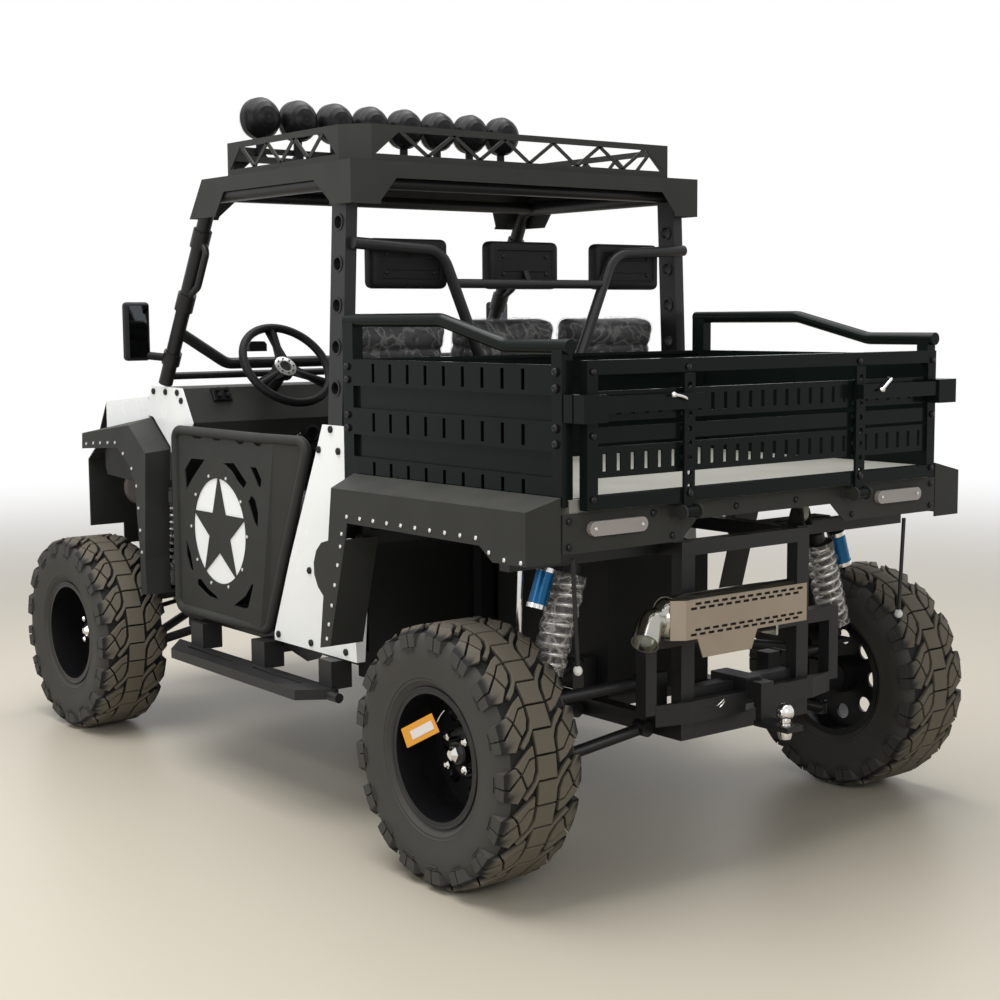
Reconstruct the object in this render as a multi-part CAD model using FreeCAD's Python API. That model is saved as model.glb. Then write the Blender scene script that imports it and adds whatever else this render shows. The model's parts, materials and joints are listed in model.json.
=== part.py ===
import FreeCAD, Part
import math
import os
from FreeCAD import Vector

# A side by side utility vehicle with a cab for three and a tipping load bed.
# Frame: X to the vehicle's left, Y to its rear, Z up, millimetres.
# The origin is on the ground, halfway between the axles.

# Wheels
WHEELBASE = 2316.0
TRACK = 1585.0
TYRE_RADIUS = 355.6
TYRE_WIDTH = 260.0
TYRE_LUGS = 17
LUG_DEPTH = 15.0
LUG_SIDE_DEPTH = 7.0
LUG_SLANT = 2.0
CENTRE_LUG_HALF = 52.0
SHOULDER_LUG_IN = 62.0
SHOULDER_X = 108.0
SHOULDER_DROP = 24.0
BULGE_RADIUS = 268.0
BEAD_RADIUS = 177.8
RIM_FLANGE_RADIUS = 190.4
RIM_WIDTH = 206.0
RIM_FLANGE_THICK = 6.0
RIM_WALL = 6.0
DISC_INSET = 42.0
DISC_THICK = 10.0
DISC_WINDOWS = 8
DISC_WINDOW_RADIUS = 24.0
DISC_WINDOW_CIRCLE = 122.0
HUB_RADIUS = 58.0
HUB_LENGTH = 46.0
SPINDLE_RADIUS = 17.0
RUNNING_GAP = 0.1
SEAT_GAP = 0.3
CAP_RADIUS = 36.0
CAP_LENGTH = 34.0
LUG_NUTS = 4
LUG_NUT_CIRCLE = 55.0
LUG_NUT_RADIUS = 10.0
LUG_NUT_LENGTH = 24.0

# Knuckles and suspension
KINGPIN_X = 640.0
KNUCKLE_WIDTH = 44.0
KNUCKLE_DEPTH = 60.0
BALL_JOINT_RISE = 95.0
JOINT_GAP = 0.3
BALL_STUD_LENGTH = 14.0
BALL_STUD_RADIUS = 12.0
STEER_ARM_LENGTH = 105.0
STEER_ARM_THICK = 14.0
ARM_TUBE_RADIUS = 17.0
ARM_SPREAD = 150.0
ARM_EYE_RADIUS = 22.0
ARM_EYE_HALF = 24.0
LOWER_ARM_INNER_Z = 368.0
UPPER_ARM_INNER_Z = 500.0
FRONT_SHOCK = ((500.0, 0.0, 512.0), (420.0, 0.0, 850.0))
REAR_SHOCK = ((600.0, 100.0, 518.0), (491.0, 100.0, 855.0))
SHOCK_STUD = 8.0
SHOCK_STUD_RADIUS = 10.0
SHOCK_PLATE = 12.0
SHOCK_PLATE_HALF = 32.0
COIL_RADIUS = 46.0
COIL_TURNS = 9
SHOCK_BODY_RADIUS = 26.0
RESERVOIR = ((585.0, 845.0), (622.0, 742.0))
RESERVOIR_RADIUS = 26.0
RESERVOIR_ARM = 9.0

# Frame
RAIL_X = 232.0
RAIL_SIDE = 50.0
RAIL_BOTTOM = 352.0
FRAME_FRONT = -1390.0
FRAME_REAR = 1440.0
UPPER_RAIL_TOP = 905.0
OUTRIGGERS = (630.0, 1310.0)
TAIL_BAR = (620.0, 660.0)
TAIL_POST = (350.0, 390.0)
TAIL_POST_LOW = 440.0
SILL_FIN_THICK = 4.0
UPPER_FRONT_END = -860.0
SILL_FIN = ((14.0, 471.0), (195.0, 435.0), (267.0, 456.0), (280.0, 471.0))
POST_SIDE = 40.0
CAB_FLOOR_TOP = 482.0
CAB_FLOOR_THICK = 12.0
CAB_FRONT = -640.0
CAB_REAR = 500.0
SILL_X = 670.0
SILL_SIDE = 40.0

# Cab
PILLAR_X = 716.7
PILLAR_TOP_X = 684.0
PILLAR_BEND_Z = 1200.0
PILLAR_TOP_Z = 1976.7
PILLAR_FRONT = 385.0
PILLAR_REAR = 463.0
PILLAR_WIDTH = 40.0
RING_COUNT = 5
RING_FIRST_Z = 1308.0
RING_PITCH = 123.5
RING_RADIUS = 25.0
RING_BORE = 19.0
RING_PROUD = 3.0
CAGE_RADIUS = 25.0
BRACE_RADIUS = 18.0
A_FOOT = (700.2, -708.0, 1293.0)
A_HEAD = (676.0, -385.0, 1925.0)
GRAB_TUBE_Z = 1360.0
GRAB_TUBE_BEND_X = 506.0
GRAB_TUBE_JOIN_Z = 1475.0
DASH_BAR_Z = 1318.0
DASH_BAR_RADIUS = 13.0
CLAMP_RADIUS = 32.0
CLAMPS = ((1362.0, 1402.0), (1548.0, 1604.0), (1760.0, 1816.0))
GRAB_HANDLE = ((0.0, 1784.0), (64.0, 1744.0), (64.0, 1626.0), (0.0, 1580.0))
GRAB_HANDLE_RADIUS = 12.0
GRAB_HANDLE_BEND = 26.0
BRACE_TOP_Z = 1722.0
BRACE_BEND_X = 355.0
BRACE_FOOT_X = 128.0
BRACE_FOOT_Z = 1205.0
CROSS_TUBE_Z = 1622.0

# Roof and rack
ROOF_HALF = 709.0
ROOF_TOP = 1981.0
ROOF_LEG = 1854.0
ROOF_ARCH = 1932.0
ROOF_REAR = 519.0
ROOF_FRONT_TOP = -387.0
ROOF_FRONT_LEG = -480.0
ROOF_SHEET = 4.0
SIDE_ARCH = ((402.0, 1865.0), (315.0, 1932.0), (-242.0, 1932.0), (-300.0, 1857.0))
REAR_ARCH_LOW = 602.0
REAR_ARCH_HIGH = 545.0
RACK_HALF = 672.0
RACK_REAR = 478.0
RACK_FRONT = -352.0
RACK_TOP = 2092.0
RACK_BASE = 1985.0
RACK_SHEET = 4.0
RACK_CORNER_X = 66.0
RACK_CORNER_Y = 78.0
RACK_LEDGE = 18.0
RACK_RAIL = 20.0
RACK_STRUT = 16.0
SIDE_TRUSSES = 7
REAR_TRUSSES = 11
LAMP_COUNT = 8
LAMP_PITCH = 147.4
LAMP_RADIUS = 70.0
LAMP_BEZEL = ((-342.0, 66.0), (-336.0, 70.0), (-312.0, 70.0), (-308.0, 67.0))
LAMP_DOME = ((-296.0, 63.0), (-282.0, 53.0), (-271.0, 38.0), (-265.0, 20.0), (-263.0, 0.0))
LAMP_Z = 2187.0
LAMP_BAR_Y = (-340.0, -315.0)
LAMP_BAR_Z = (2040.0, 2060.0)
LAMP_STEM = (30.0, 8.0)

# Doors
DOOR_TUBE_RADIUS = 16.5
DOOR_TUBE_X = 733.5
DOOR_FRONT = -577.0
DOOR_TOP = 1137.0
DOOR_LOW = 512.0
DOOR_TOP_BEND = (DOOR_TUBE_X, 0.0, DOOR_TOP)
DOOR_REAR_TOP = (712.0, 265.0, 1139.0)
DOOR_REAR_LOW = (717.0, 7.0, DOOR_LOW)
DOOR_BEND = 34.0
DOOR_SHEET = 4.0
DOOR_FOLD_TOP = (90.0, 1135.0)
DOOR_FOLD_LOW = (-17.0, 515.0)
DOOR_NOTCHES = (
    (-458.0, -377.0, 1114.0), (-316.0, -245.0, 1114.0), (-155.0, -93.0, 1110.0), (-40.0, 20.0, 1111.0),
)
DOOR_NOTCH_SLANT = 20.0
DOOR_WINDOWS = (
    ((-513, 1002), (-464, 1043), (-368, 1045), (-454, 979), (-506, 932)),
    ((-243, 1041), (-169, 1046), (-86, 987), (-109, 965), (-143, 983), (-186, 1017)),
    ((-62, 1040), (-22, 1041), (10, 1003), (2, 975), (-12, 979)),
    ((-79, 925), (-57, 948), (-33, 935), (-16, 893), (-21, 842), (-42, 859)),
    ((-516, 760), (-486, 711), (-468, 650), (-489, 655), (-515, 701)),
    ((-440, 627), (-418, 631), (-364, 602), (-309, 585), (-299, 573), (-365, 578), (-441, 606)),
    ((-190, 569), (-113, 610), (-65, 659), (-58, 653), (-95, 573), (-122, 567)),
)
DISC_CENTRE_Y = -280.0
DISC_CENTRE_Z = 809.0
STAR_DISC_RADIUS = 178.0
STAR_PLATE_RADIUS = 203.0
STAR_RADIUS = 186.0
STAR_WAIST = 72.0
DISC_SHEET = 3.0
HINGE_X = 735.0
HINGE_Y = -612.0
HINGE_PIN_RADIUS = 8.0
HINGE_EYE_RADIUS = 14.0
HINGE_EYE_HEIGHT = 40.0
HINGE_PLATE = 8.0
HINGE_PLAY = 4.0
HINGE_LEVELS = (600.0, 880.0)

# White side panels
PANEL_X = 720.0
PANEL_SHEET = 3.0
PANEL_OUTLINE = ((46.0, 487.0), (528.0, 487.0), (484.0, 1197.0), (357.0, 1197.0), (306.0, 1085.0), (152.0, 763.0),
                 (46.0, 512.0))
PANEL_FLANGE_TOP = 860.0
PANEL_FLANGE = ((690.0, 487.0), (650.0, 860.0))

# Front body
HOOD_HALF = 700.0
HOOD_SIDE = ((-846.0, 1163.6), (-846.0, 1241.0), (-1200.0, 1211.0), (-1200.0, 1102.9))
HOOD_SHEET = 4.0
COWL_X = 704.0
COWL_SIDE = ((-857.0, 1176.0), (-815.0, 1281.0), (-578.0, 1279.0), (-504.0, 1159.0),
             (-560.0, 1050.0), (-675.0, 1050.0),
             (-675.0, 1069.0), (-805.0, 1170.0))
DASH_SIDE = (
    (-800.0, 950.0), (-800.0, 1277.0), (-590.0, 1276.0), (-520.0, 1160.0), (-530.0, 1040.0), (-610.0, 950.0),
)
DASH_FRONT = -800.0
DASH_LOW = 950.0
FENDER_SHEET = 4.0
FENDER_OUT = 800.0
FENDER_IN = 704.3
FENDER_SHELF_IN = 650.0
FENDER_TIP = (-1203.0, 1096.0)
FENDER_RIDGE = (-811.0, 1144.0)
FENDER_CORNER = (-682.0, 1051.0)
FENDER_IN_TIP = (-1203.0, 1102.0)
FENDER_IN_RIDGE = (-818.0, 1168.0)
FENDER_IN_CORNER = (-682.0, 1060.0)
FENDER_BACK = ((-707.0, 673.0), (-701.0, 546.0))
FENDER_ARCH = (
    (-745.0, 546.0), (-745.0, 668.0), (-772.0, 933.0), (-807.0, 993.0), (-911.0, 1058.0), (-1208.0, 1038.0),
)
FENDER_LINER = (
    (-1322.0, 1015.0), (-1322.0, 950.0), (-1305.0, 925.0), (-1110.0, 915.0), (-905.0, 930.0), (-870.0, 1060.0),
)
NOSE_PROFILE = ((-1200.3, 1207.0), (-1222.0, 1207.0), (-1330.0, 1030.0), (-1400.0, 980.0), (-1400.0, 640.0))
NOSE_SHEET = 6.0
NOSE_HALF = 690.0
NOSE_LOW_HALF = 550.0
NOSE_STEP = 720.0
GRILLE_HALF = 300.0
GRILLE_SLOTS = 5
GRILLE_FIRST = 720.0
GRILLE_PITCH = 44.0
GRILLE_SLOT = 22.0
HEADLAMP_X = 470.0
HEADLAMP_Z = 860.0
HEADLAMP_RADIUS = 76.0
HEADLAMP_Y = (-1408.0, -1360.0)
BUMPER_Y = -1603.0
BUMPER_RADIUS = 22.0
BUMPER_HALF = 480.0
WINCH_PLATE_TOP = 478.0
WINCH_Y = -1487.0
WINCH_BOLTS_X = 254.0
WINCH_BOLTS_Y = 114.3
WINCH_HOLE_RADIUS = 5.0

# Rear fenders
REAR_FENDER_IN = 746.0
REAR_FENDER_OUT = 860.0
REAR_FENDER_TOP_OUT = ((621.0, 1033.0), (1508.0, 1039.0))
REAR_FENDER_TOP_IN = ((567.0, 1064.0), (1508.0, 1067.0))
REAR_FENDER_ARCH = ((1508.0, 903.0), (1374.0, 901.0), (1321.0, 938.0), (700.0, 938.0), (691.0, 890.0), (602.0, 567.0),
                    (547.0, 555.0), (569.0, 712.0), (540.0, 735.0), (521.0, 770.0), (519.0, 805.0), (534.0, 842.0),
                    (562.0, 868.0), (600.0, 878.0))
REAR_FENDER_LEG = ((691.0, 890.0), (602.0, 567.0))
REAR_FENDER_END = 903.0
OUTRIGGER_POST = (756.0, 786.0)
OUTRIGGER_GAP = 0.6

# Bed
BED_HALF = 738.0
BED_FRONT = 505.0
BED_REAR = 1503.7
BED_FLOOR_TOP = 1062.0
BED_PANEL_HALF = 698.0
BED_PANEL_FRONT = 540.0
BED_PANEL_REAR = 1497.0
BED_PANEL_RISE = 3.0
BED_FLOOR_THICK = 6.0
BED_WALL_TOP = 1398.0
BED_POST = 36.0
BED_FRONT_POST = 54.0
BED_REAR_POST = 40.0
PLANK_FACE = 77.0
PLANK_PITCH = 141.8
PLANK_FIRST_Z = 1037.5
PLANK_COUNT = 3
PLANK_SHEET = 4.0
PLANK_LIP = 15.0
PLANK_SLOTS = 9
PLANK_SLOT_FIRST = 664.0
PLANK_SLOT_PITCH = 85.7
PLANK_SLOT_WIDTH = 14.0
PLANK_SLOT_HEIGHT = 54.0
WALL_BACK = 16.0
RAIL_RADIUS = 19.0
RAIL_INSET = 18.0
RAIL_FRONT_Z = 1511.0
RAIL_REAR_Z = 1443.0
RAIL_BEND_FRONT = 974.0
RAIL_BEND_REAR = 1264.0
TAIL_PLATE_Y = 1509.0
TAIL_PLATE_HALF = 741.0
TAIL_PLATE_THICK = 5.0
TAIL_PLATE_TOP = 1024.0
TAIL_PLATE_LOW = 922.0
TAIL_PLATE_NOTCH = 977.0
TAIL_NOTCH_LOW = 330.0
TAIL_NOTCH_HIGH = 270.0
MARKER_X = 561.0
MARKER_Z = 982.0
MARKER_LENGTH = 200.0
MARKER_HEIGHT = 38.0
TILT_Y = 1400.0
TILT_Z = 940.0
TILT_X = 262.0
TILT_PIN_RADIUS = 12.0
TILT_EYE_RADIUS = 24.0
BED_BEAM_X = 262.0
BED_BEAM_TOP = 1056.0
BED_BEAM_LOW = 1000.0

# Tailgate
GATE_HALF = 690.0
GATE_OUTER = 1545.0
GATE_THICK = 30.0
GATE_BOTTOM = 1032.0
GATE_TOP = 1409.0
GATE_RAIL = 36.0
GATE_HINGE_Y = 1556.0
GATE_HINGE_Z = 1006.0
GATE_HINGE_X = 341.0
GATE_PIN_RADIUS = 8.0
GATE_FOOT_RADIUS = 15.0
GATE_EAR_RADIUS = 20.0
GATE_EAR_THICK = 6.0
GATE_EAR_GAP = 5.5
STRAP_WIDTH = 39.0
STRAP_PROUD = 8.0
STRAP_TOP = 1370.0
STRAP_HOLE_RADIUS = 8.0
STRAP_HOLES = 8
STRAP_HOLE_FIRST = 1072.0
STRAP_HOLE_PITCH = 38.3
GATE_PLANK_RECESS = 9.0
GATE_SHEET = 4.0
GATE_LIP = 14.0
GATE_SLOTTED = ((1112.0, 1190.0), (1254.0, 1331.0))
GATE_PLAIN = (1200.0, 1240.0)
GATE_SLOTS = 27
GATE_SLOT_PITCH = 48.0
GATE_SLOT_WIDTH = 13.0
GATE_SLOT_HEIGHT = 46.0
LATCH_BAR = (1278.0, 1319.0)
LATCH_BAR_DEPTH = 25.0
LATCH_BLOCK_X = (655.0, 735.0)
LATCH_BLOCK_Z = (1255.0, 1325.0)
LATCH_BLOCK_REAR = 1585.0
LATCH_SPLIT = 1540.0

# Seats
SEAT_XS = (450.0, 0.0, -450.0)
SEAT_WIDTH = 400.0
SEAT_FRONT = -190.0
SEAT_REAR = 300.0
SEAT_TOP = 930.0
SEAT_THICK = 130.0
BACK_LEAN = 90.0
BACK_THICK = 110.0
BACK_TOP = 1528.0
SEAT_EDGE = 28.0
HEADREST_WIDTH = 286.0
HEADREST_HEIGHT = 152.0
HEADREST_THICK = 62.0
HEADREST_Z = 1682.0
HEADREST_REAR = 455.0

# Steering
STEER_CENTRE = (350.0, -464.0, 1354.0)
STEER_LEAN = 38.0
STEER_RIM_RADIUS = 165.0
STEER_GRIP_RADIUS = 15.0
STEER_HUB_RADIUS = 40.0
COLUMN_RADIUS = 24.0
COLUMN_LENGTH = 260.0
RACK_BAR_RADIUS = 12.0
RACK_BAR_HALF = 250.0
RACK_BAR_Z = 432.0
RACK_HOUSING_HALF = 150.0
RACK_HOUSING_RADIUS = 24.0
TIE_ROD_RADIUS = 9.0
ROD_END_RADIUS = 14.0
ROD_END_INSET = 10.0

# Steps, mirrors, exhaust, hitch and engine
STEP_OUTLINE = ((746.0, -564.0), (852.0, -424.0), (861.0, 397.0), (761.0, 463.0), (746.0, 463.0))
STEP_HOLLOW = ((750.0, -552.0), (848.0, -422.5), (857.0, 395.0), (760.0, 459.0), (750.0, 459.0))
STEP_TOP = 402.0
STEP_THICK = 32.0
STEP_SHEET = 4.0
STEP_SLOTS = ((-416.0, -102.0), (25.0, 327.0))
STEP_SLOT_X = (783.0, 797.0)
STEP_TUBE = ((766.0, -530.0, 382.0), (771.0, 506.0, 382.0))
STEP_TUBE_RADIUS = 15.0
STEP_POSTS = ((-445.0, -359.0), (-30.0, 53.0), (380.0, 453.0))
STEP_POST_TOP = 484.0
STEP_POST_OUT = 764.0
MIRROR_X = 801.0
MIRROR_Y = -700.0
MIRROR_Z = 1476.0
MIRROR_WIDTH = 92.0
MIRROR_HEIGHT = 204.0
MIRROR_THICK = 42.0
MIRROR_ARM_Z = 1382.0
MIRROR_ARM_RADIUS = 14.0
MUFFLER_LEFT = 372.0
MUFFLER_RIGHT = -95.0
MUFFLER_Y = 1503.0
MUFFLER_Z = 717.0
MUFFLER_RADIUS = 60.0
MUFFLER_DOME = 56.0
OUTLET_ROUTE = ((372.0, 1503.0, 717.0), (436.0, 1507.0, 714.0), (484.0, 1536.0, 668.0))
OUTLET_RADIUS = 37.0
OUTLET_BORE = 33.0
OUTLET_DEPTH = 34.0
MUFFLER_BOSSES = (-40.0, 230.0)
SHIELD_LEFT = 372.0
SHIELD_RIGHT = -98.0
SHIELD_LOW = 668.0
SHIELD_TOP = 774.0
SHIELD_FOLD = (405.0, 1546.0)
SHIELD_TAB = ((309.0, 615.0), (123.0, 615.0), (100.0, 669.0), (330.0, 669.0))
SHIELD_GAP = 8.0
SHIELD_SHEET = 3.0
SHIELD_SLOTS = 13
SHIELD_SLOT_PITCH = 33.0
SHIELD_SLOT = (22.0, 7.0)
SHIELD_ROWS = (680.0, 692.0, 750.0, 762.0)
HITCH_Z = 470.0
HITCH_OUTER = 64.0
HITCH_BORE = 51.0
HITCH_WING = ((32.0, 1440.3), (250.0, 1440.3), (354.0, 1440.3), (250.0, 1468.0), (32.0, 1468.0))
HITCH_WING_Z = (406.0, 466.0)
BALL_RADIUS = 25.0
BALL_Y = 1587.0
BALL_Z = 422.0
TONGUE_END = 1625.0
ENGINE_HALF = 205.0
ENGINE_FRONT = 560.0
ENGINE_REAR = 1080.0
ENGINE_LOW = 402.3
ENGINE_TOP = 820.0

FRONT_AXLE = -WHEELBASE / 2
REAR_AXLE = WHEELBASE / 2
WHEEL_X = TRACK / 2
ARM_INNER_X = RAIL_X + RAIL_SIDE / 2 + ARM_EYE_RADIUS + SEAT_GAP
BRACE_Y = PILLAR_REAR + BRACE_RADIUS + SEAT_GAP
SILL_LOW = CAB_FLOOR_TOP - CAB_FLOOR_THICK
SILL_IN = SILL_X - SILL_SIDE / 2
SILL_OUT = SILL_X + SILL_SIDE / 2
PILLAR_FOOT_Z = SILL_LOW + SILL_SIDE + SEAT_GAP
SILL_BEAMS = (CAB_FRONT, -40.0, CAB_REAR - SILL_SIDE)
CROSSMEMBERS = (FRAME_FRONT, FRONT_AXLE - STEER_ARM_LENGTH - RAIL_SIDE / 2, -700.0, -40.0, CAB_REAR,
                ENGINE_FRONT + 60, ENGINE_REAR - 110, FRAME_REAR - RAIL_SIDE)


def box(x0, x1, y0, y1, z0, z1):
    """A block between two corners."""
    corner = Vector(min(x0, x1), min(y0, y1), min(z0, z1))
    return Part.makeBox(abs(x1 - x0), abs(y1 - y0), abs(z1 - z0), corner)


def rod(start, end, radius):
    """A round bar between two points."""
    first = Vector(*start)
    way = Vector(*end) - first
    return Part.makeCylinder(radius, way.Length, first, way)


def prism(points, way):
    """A polygon of 3D points, pushed along a vector."""
    corners = [Vector(*point) for point in points]
    return Part.Face(Part.makePolygon(corners + corners[:1])).extrude(Vector(*way))


def prism_x(outline, x0, x1):
    """An outline of (y, z) points between two planes across the vehicle."""
    return prism([(x0, y, z) for y, z in outline], (x1 - x0, 0, 0))


def prism_y(outline, y0, y1):
    """An outline of (x, z) points between two planes along the vehicle."""
    return prism([(x, y0, z) for x, z in outline], (0, y1 - y0, 0))


def prism_z(outline, z0, z1):
    """An outline of (x, y) points between two levels."""
    return prism([(x, y, z0) for x, y in outline], (0, 0, z1 - z0))


def join(solids):
    """Solids that overlap or touch, made one."""
    first, rest = solids[0], solids[1:]
    return first.fuse(rest).removeSplitter() if rest else first


def both_sides(shape):
    """A shape and its mirror image across the vehicle."""
    return [shape, mirrored(shape)]


def mirrored(shape):
    """The same shape on the right side."""
    return shape.mirror(Vector(0, 0, 0), Vector(1, 0, 0))


def bent_tube(points, radius, bend):
    """A round tube through points, with arcs of one radius at the corners."""
    route = [Vector(*point) for point in points]
    pieces = []
    start = route[0]
    for before, corner, after in zip(route, route[1:], route[2:]):
        back = (before - corner).normalize()
        ahead = (after - corner).normalize()
        half = back.getAngle(ahead) / 2
        setback = bend / math.tan(half)
        arc_start = corner + back * setback
        centre = corner + (back + ahead).normalize() * (bend / math.sin(half))
        arm = arc_start - centre
        axis = arm.cross(back * -1)
        disc = Part.Face(Part.Wire(Part.makeCircle(radius, arc_start, back * -1)))
        pieces.append(rod(start, arc_start, radius))
        pieces.append(disc.revolve(centre, axis, 180 - math.degrees(2 * half)))
        start = corner + ahead * setback
    pieces.append(rod(start, route[-1], radius))
    return join(pieces)


def revolved_x(profile, centre):
    """A profile of (x, radius) points turned about a line across the vehicle."""
    corners = [Vector(x, 0, radius) for x, radius in profile]
    face = Part.Face(Part.makePolygon(corners + corners[:1]))
    solid = face.revolve(Vector(0, 0, 0), Vector(1, 0, 0), 360)
    solid.translate(Vector(*centre))
    return solid


def write(name, solids):
    """One sub-part's solids to one STEP file."""
    shape = solids[0] if len(solids) == 1 else Part.makeCompound(solids)
    shape.exportStep("parts/" + name + ".step")


# Wheels


def tyre_profile(shoulders):
    """One (x, radius) section of a tyre, with lugs on its shoulders or else along its middle."""
    half = TYRE_WIDTH / 2
    seat = RIM_WIDTH / 2 - RIM_FLANGE_THICK
    low = TYRE_RADIUS - LUG_DEPTH
    foot_out, foot_in = SHOULDER_LUG_IN - LUG_SLANT, CENTRE_LUG_HALF + LUG_SLANT
    right = [(seat, BEAD_RADIUS), (seat, RIM_FLANGE_RADIUS + 2), (half - LUG_SIDE_DEPTH, BULGE_RADIUS)]
    if shoulders:
        right += [(half, TYRE_RADIUS - SHOULDER_DROP), (SHOULDER_X, TYRE_RADIUS), (SHOULDER_LUG_IN, TYRE_RADIUS),
                  (foot_out, low), (foot_in, low)]
    else:
        right += [(half - LUG_SIDE_DEPTH, low - SHOULDER_DROP), (SHOULDER_X, low), (foot_out, low), (foot_in, low),
                  (CENTRE_LUG_HALF, TYRE_RADIUS)]
    return right + [(-x, radius) for x, radius in reversed(right)]


def tyre(centre):
    """A tyre with its lugs as one faceted solid: blocks on both shoulders, and bars between them in the middle."""
    step = 180.0 / TYRE_LUGS
    widen = 1 / math.cos(math.radians(step / 2))
    block, bar = tyre_profile(True), tyre_profile(False)
    walls = [[block[2], block[3], block[4], block[5], block[6], bar[4], bar[3]], [bar[6], bar[7], bar[8], bar[9]]]
    walls.append([(-x, radius) for x, radius in walls[0]])

    def point(place, turn):
        x, radius = place
        angle = math.radians(-90 - step / 2 + turn * step)
        reach = radius * widen
        return Vector(centre[0] + x, centre[1] + reach * math.cos(angle), centre[2] + reach * math.sin(angle))

    def face(corners):
        return Part.Face(Part.makePolygon(corners + corners[:1]))

    faces = []
    for turn in range(2 * TYRE_LUGS):
        profile = bar if turn % 2 else block
        for near, far in zip(profile, profile[1:] + profile[:1]):
            faces.append(face([point(near, turn), point(far, turn), point(far, turn + 1), point(near, turn + 1)]))
        faces += [face([point(place, turn) for place in wall]) for wall in walls]
    skin = Part.Compound(faces)
    skin.sewShape()
    return Part.makeSolid(skin.Shells[0])


def rim(centre, side):
    """A deep rim with its disc, hub, cap and nuts; side is 1 on the left, -1 on the right."""
    half = RIM_WIDTH / 2
    inner = BEAD_RADIUS - RIM_WALL
    profile = [
        (-half, inner),
        (half, inner),
        (half, RIM_FLANGE_RADIUS),
        (half - RIM_FLANGE_THICK, RIM_FLANGE_RADIUS),
        (half - RIM_FLANGE_THICK, BEAD_RADIUS),
        (-half + RIM_FLANGE_THICK, BEAD_RADIUS),
        (-half + RIM_FLANGE_THICK, RIM_FLANGE_RADIUS),
        (-half, RIM_FLANGE_RADIUS),
    ]
    barrel = revolved_x(profile, (0, 0, 0))
    disc = rod((-DISC_INSET, 0, 0), (-DISC_INSET + DISC_THICK, 0, 0), inner + 1)
    for step in range(DISC_WINDOWS):
        turn = 2 * math.pi * step / DISC_WINDOWS
        y, z = DISC_WINDOW_CIRCLE * math.sin(turn), DISC_WINDOW_CIRCLE * math.cos(turn)
        disc = disc.cut(rod((-DISC_INSET - 1, y, z), (-DISC_INSET + DISC_THICK + 1, y, z), DISC_WINDOW_RADIUS))
    hub = rod((-DISC_INSET - HUB_LENGTH, 0, 0), (-DISC_INSET + 1, 0, 0), HUB_RADIUS)
    cap = rod((-DISC_INSET, 0, 0), (-DISC_INSET + DISC_THICK + CAP_LENGTH, 0, 0), CAP_RADIUS)
    pieces = [barrel, disc, hub, cap]
    for step in range(LUG_NUTS):
        turn = 2 * math.pi * (step + 0.5) / LUG_NUTS
        y, z = LUG_NUT_CIRCLE * math.sin(turn), LUG_NUT_CIRCLE * math.cos(turn)
        pieces.append(rod((-DISC_INSET, y, z), (-DISC_INSET + DISC_THICK + LUG_NUT_LENGTH, y, z), LUG_NUT_RADIUS))
    wheel = join(pieces)
    bore_start = -DISC_INSET - HUB_LENGTH
    wheel = wheel.cut(rod((bore_start - 1, 0, 0), (-DISC_INSET, 0, 0), SPINDLE_RADIUS + RUNNING_GAP))
    if side < 0:
        wheel = mirrored(wheel)
    wheel.translate(Vector(*centre))
    return wheel


def spindle(axle_y):
    """The left stub that carries a wheel's hub, from its knuckle."""
    hub_face = WHEEL_X - DISC_INSET - HUB_LENGTH
    return rod((KINGPIN_X, axle_y, TYRE_RADIUS), (hub_face + HUB_LENGTH - 4, axle_y, TYRE_RADIUS), SPINDLE_RADIUS)


def knuckle_body(axle_y):
    """The left upright between the two ball joints, with its hub carrier."""
    half = KNUCKLE_WIDTH / 2
    hub_face = WHEEL_X - DISC_INSET - HUB_LENGTH
    reach = BALL_JOINT_RISE - ARM_TUBE_RADIUS - BALL_STUD_LENGTH - JOINT_GAP
    low, high = TYRE_RADIUS - reach, TYRE_RADIUS + reach
    upright = box(
        KINGPIN_X - half, KINGPIN_X + half,
        axle_y - KNUCKLE_DEPTH / 2, axle_y + KNUCKLE_DEPTH / 2, low, high,
    )
    carrier = rod((KINGPIN_X, axle_y, TYRE_RADIUS), (hub_face - 3, axle_y, TYRE_RADIUS), 46)
    return join([upright, carrier, spindle(axle_y)])


def knuckle():
    """The left steered knuckle, with its steering arm ahead of the kingpin."""
    arm = box(
        KINGPIN_X - 24, KINGPIN_X + 4,
        FRONT_AXLE - STEER_ARM_LENGTH - 16, FRONT_AXLE - KNUCKLE_DEPTH / 2 + 2,
        TYRE_RADIUS - STEER_ARM_THICK, TYRE_RADIUS,
    )
    return join([knuckle_body(FRONT_AXLE), arm])


# Suspension


def wishbone(axle_y, inner_z, outer_z, toward):
    """One left wishbone: two tubes from the frame to a ball joint whose stud points up (1) or down (-1)."""
    radius = ARM_TUBE_RADIUS
    outer = (KINGPIN_X, axle_y, outer_z)
    pieces = []
    for way in (-1, 1):
        y = axle_y + way * ARM_SPREAD
        pieces.append(rod((ARM_INNER_X, y, inner_z), outer, radius))
        pieces.append(rod((ARM_INNER_X, y - ARM_EYE_HALF, inner_z), (ARM_INNER_X, y + ARM_EYE_HALF, inner_z),
                          ARM_EYE_RADIUS))
    pieces.append(rod((KINGPIN_X, axle_y, outer_z - radius), (KINGPIN_X, axle_y, outer_z + radius), ARM_EYE_RADIUS))
    stud_end = outer_z + toward * (radius + BALL_STUD_LENGTH)
    pieces.append(rod(outer, (KINGPIN_X, axle_y, stud_end), BALL_STUD_RADIUS))
    return join(pieces)


def lower_arm(axle_y):
    """The left lower wishbone."""
    return wishbone(axle_y, LOWER_ARM_INNER_Z, TYRE_RADIUS - BALL_JOINT_RISE, 1)


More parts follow.
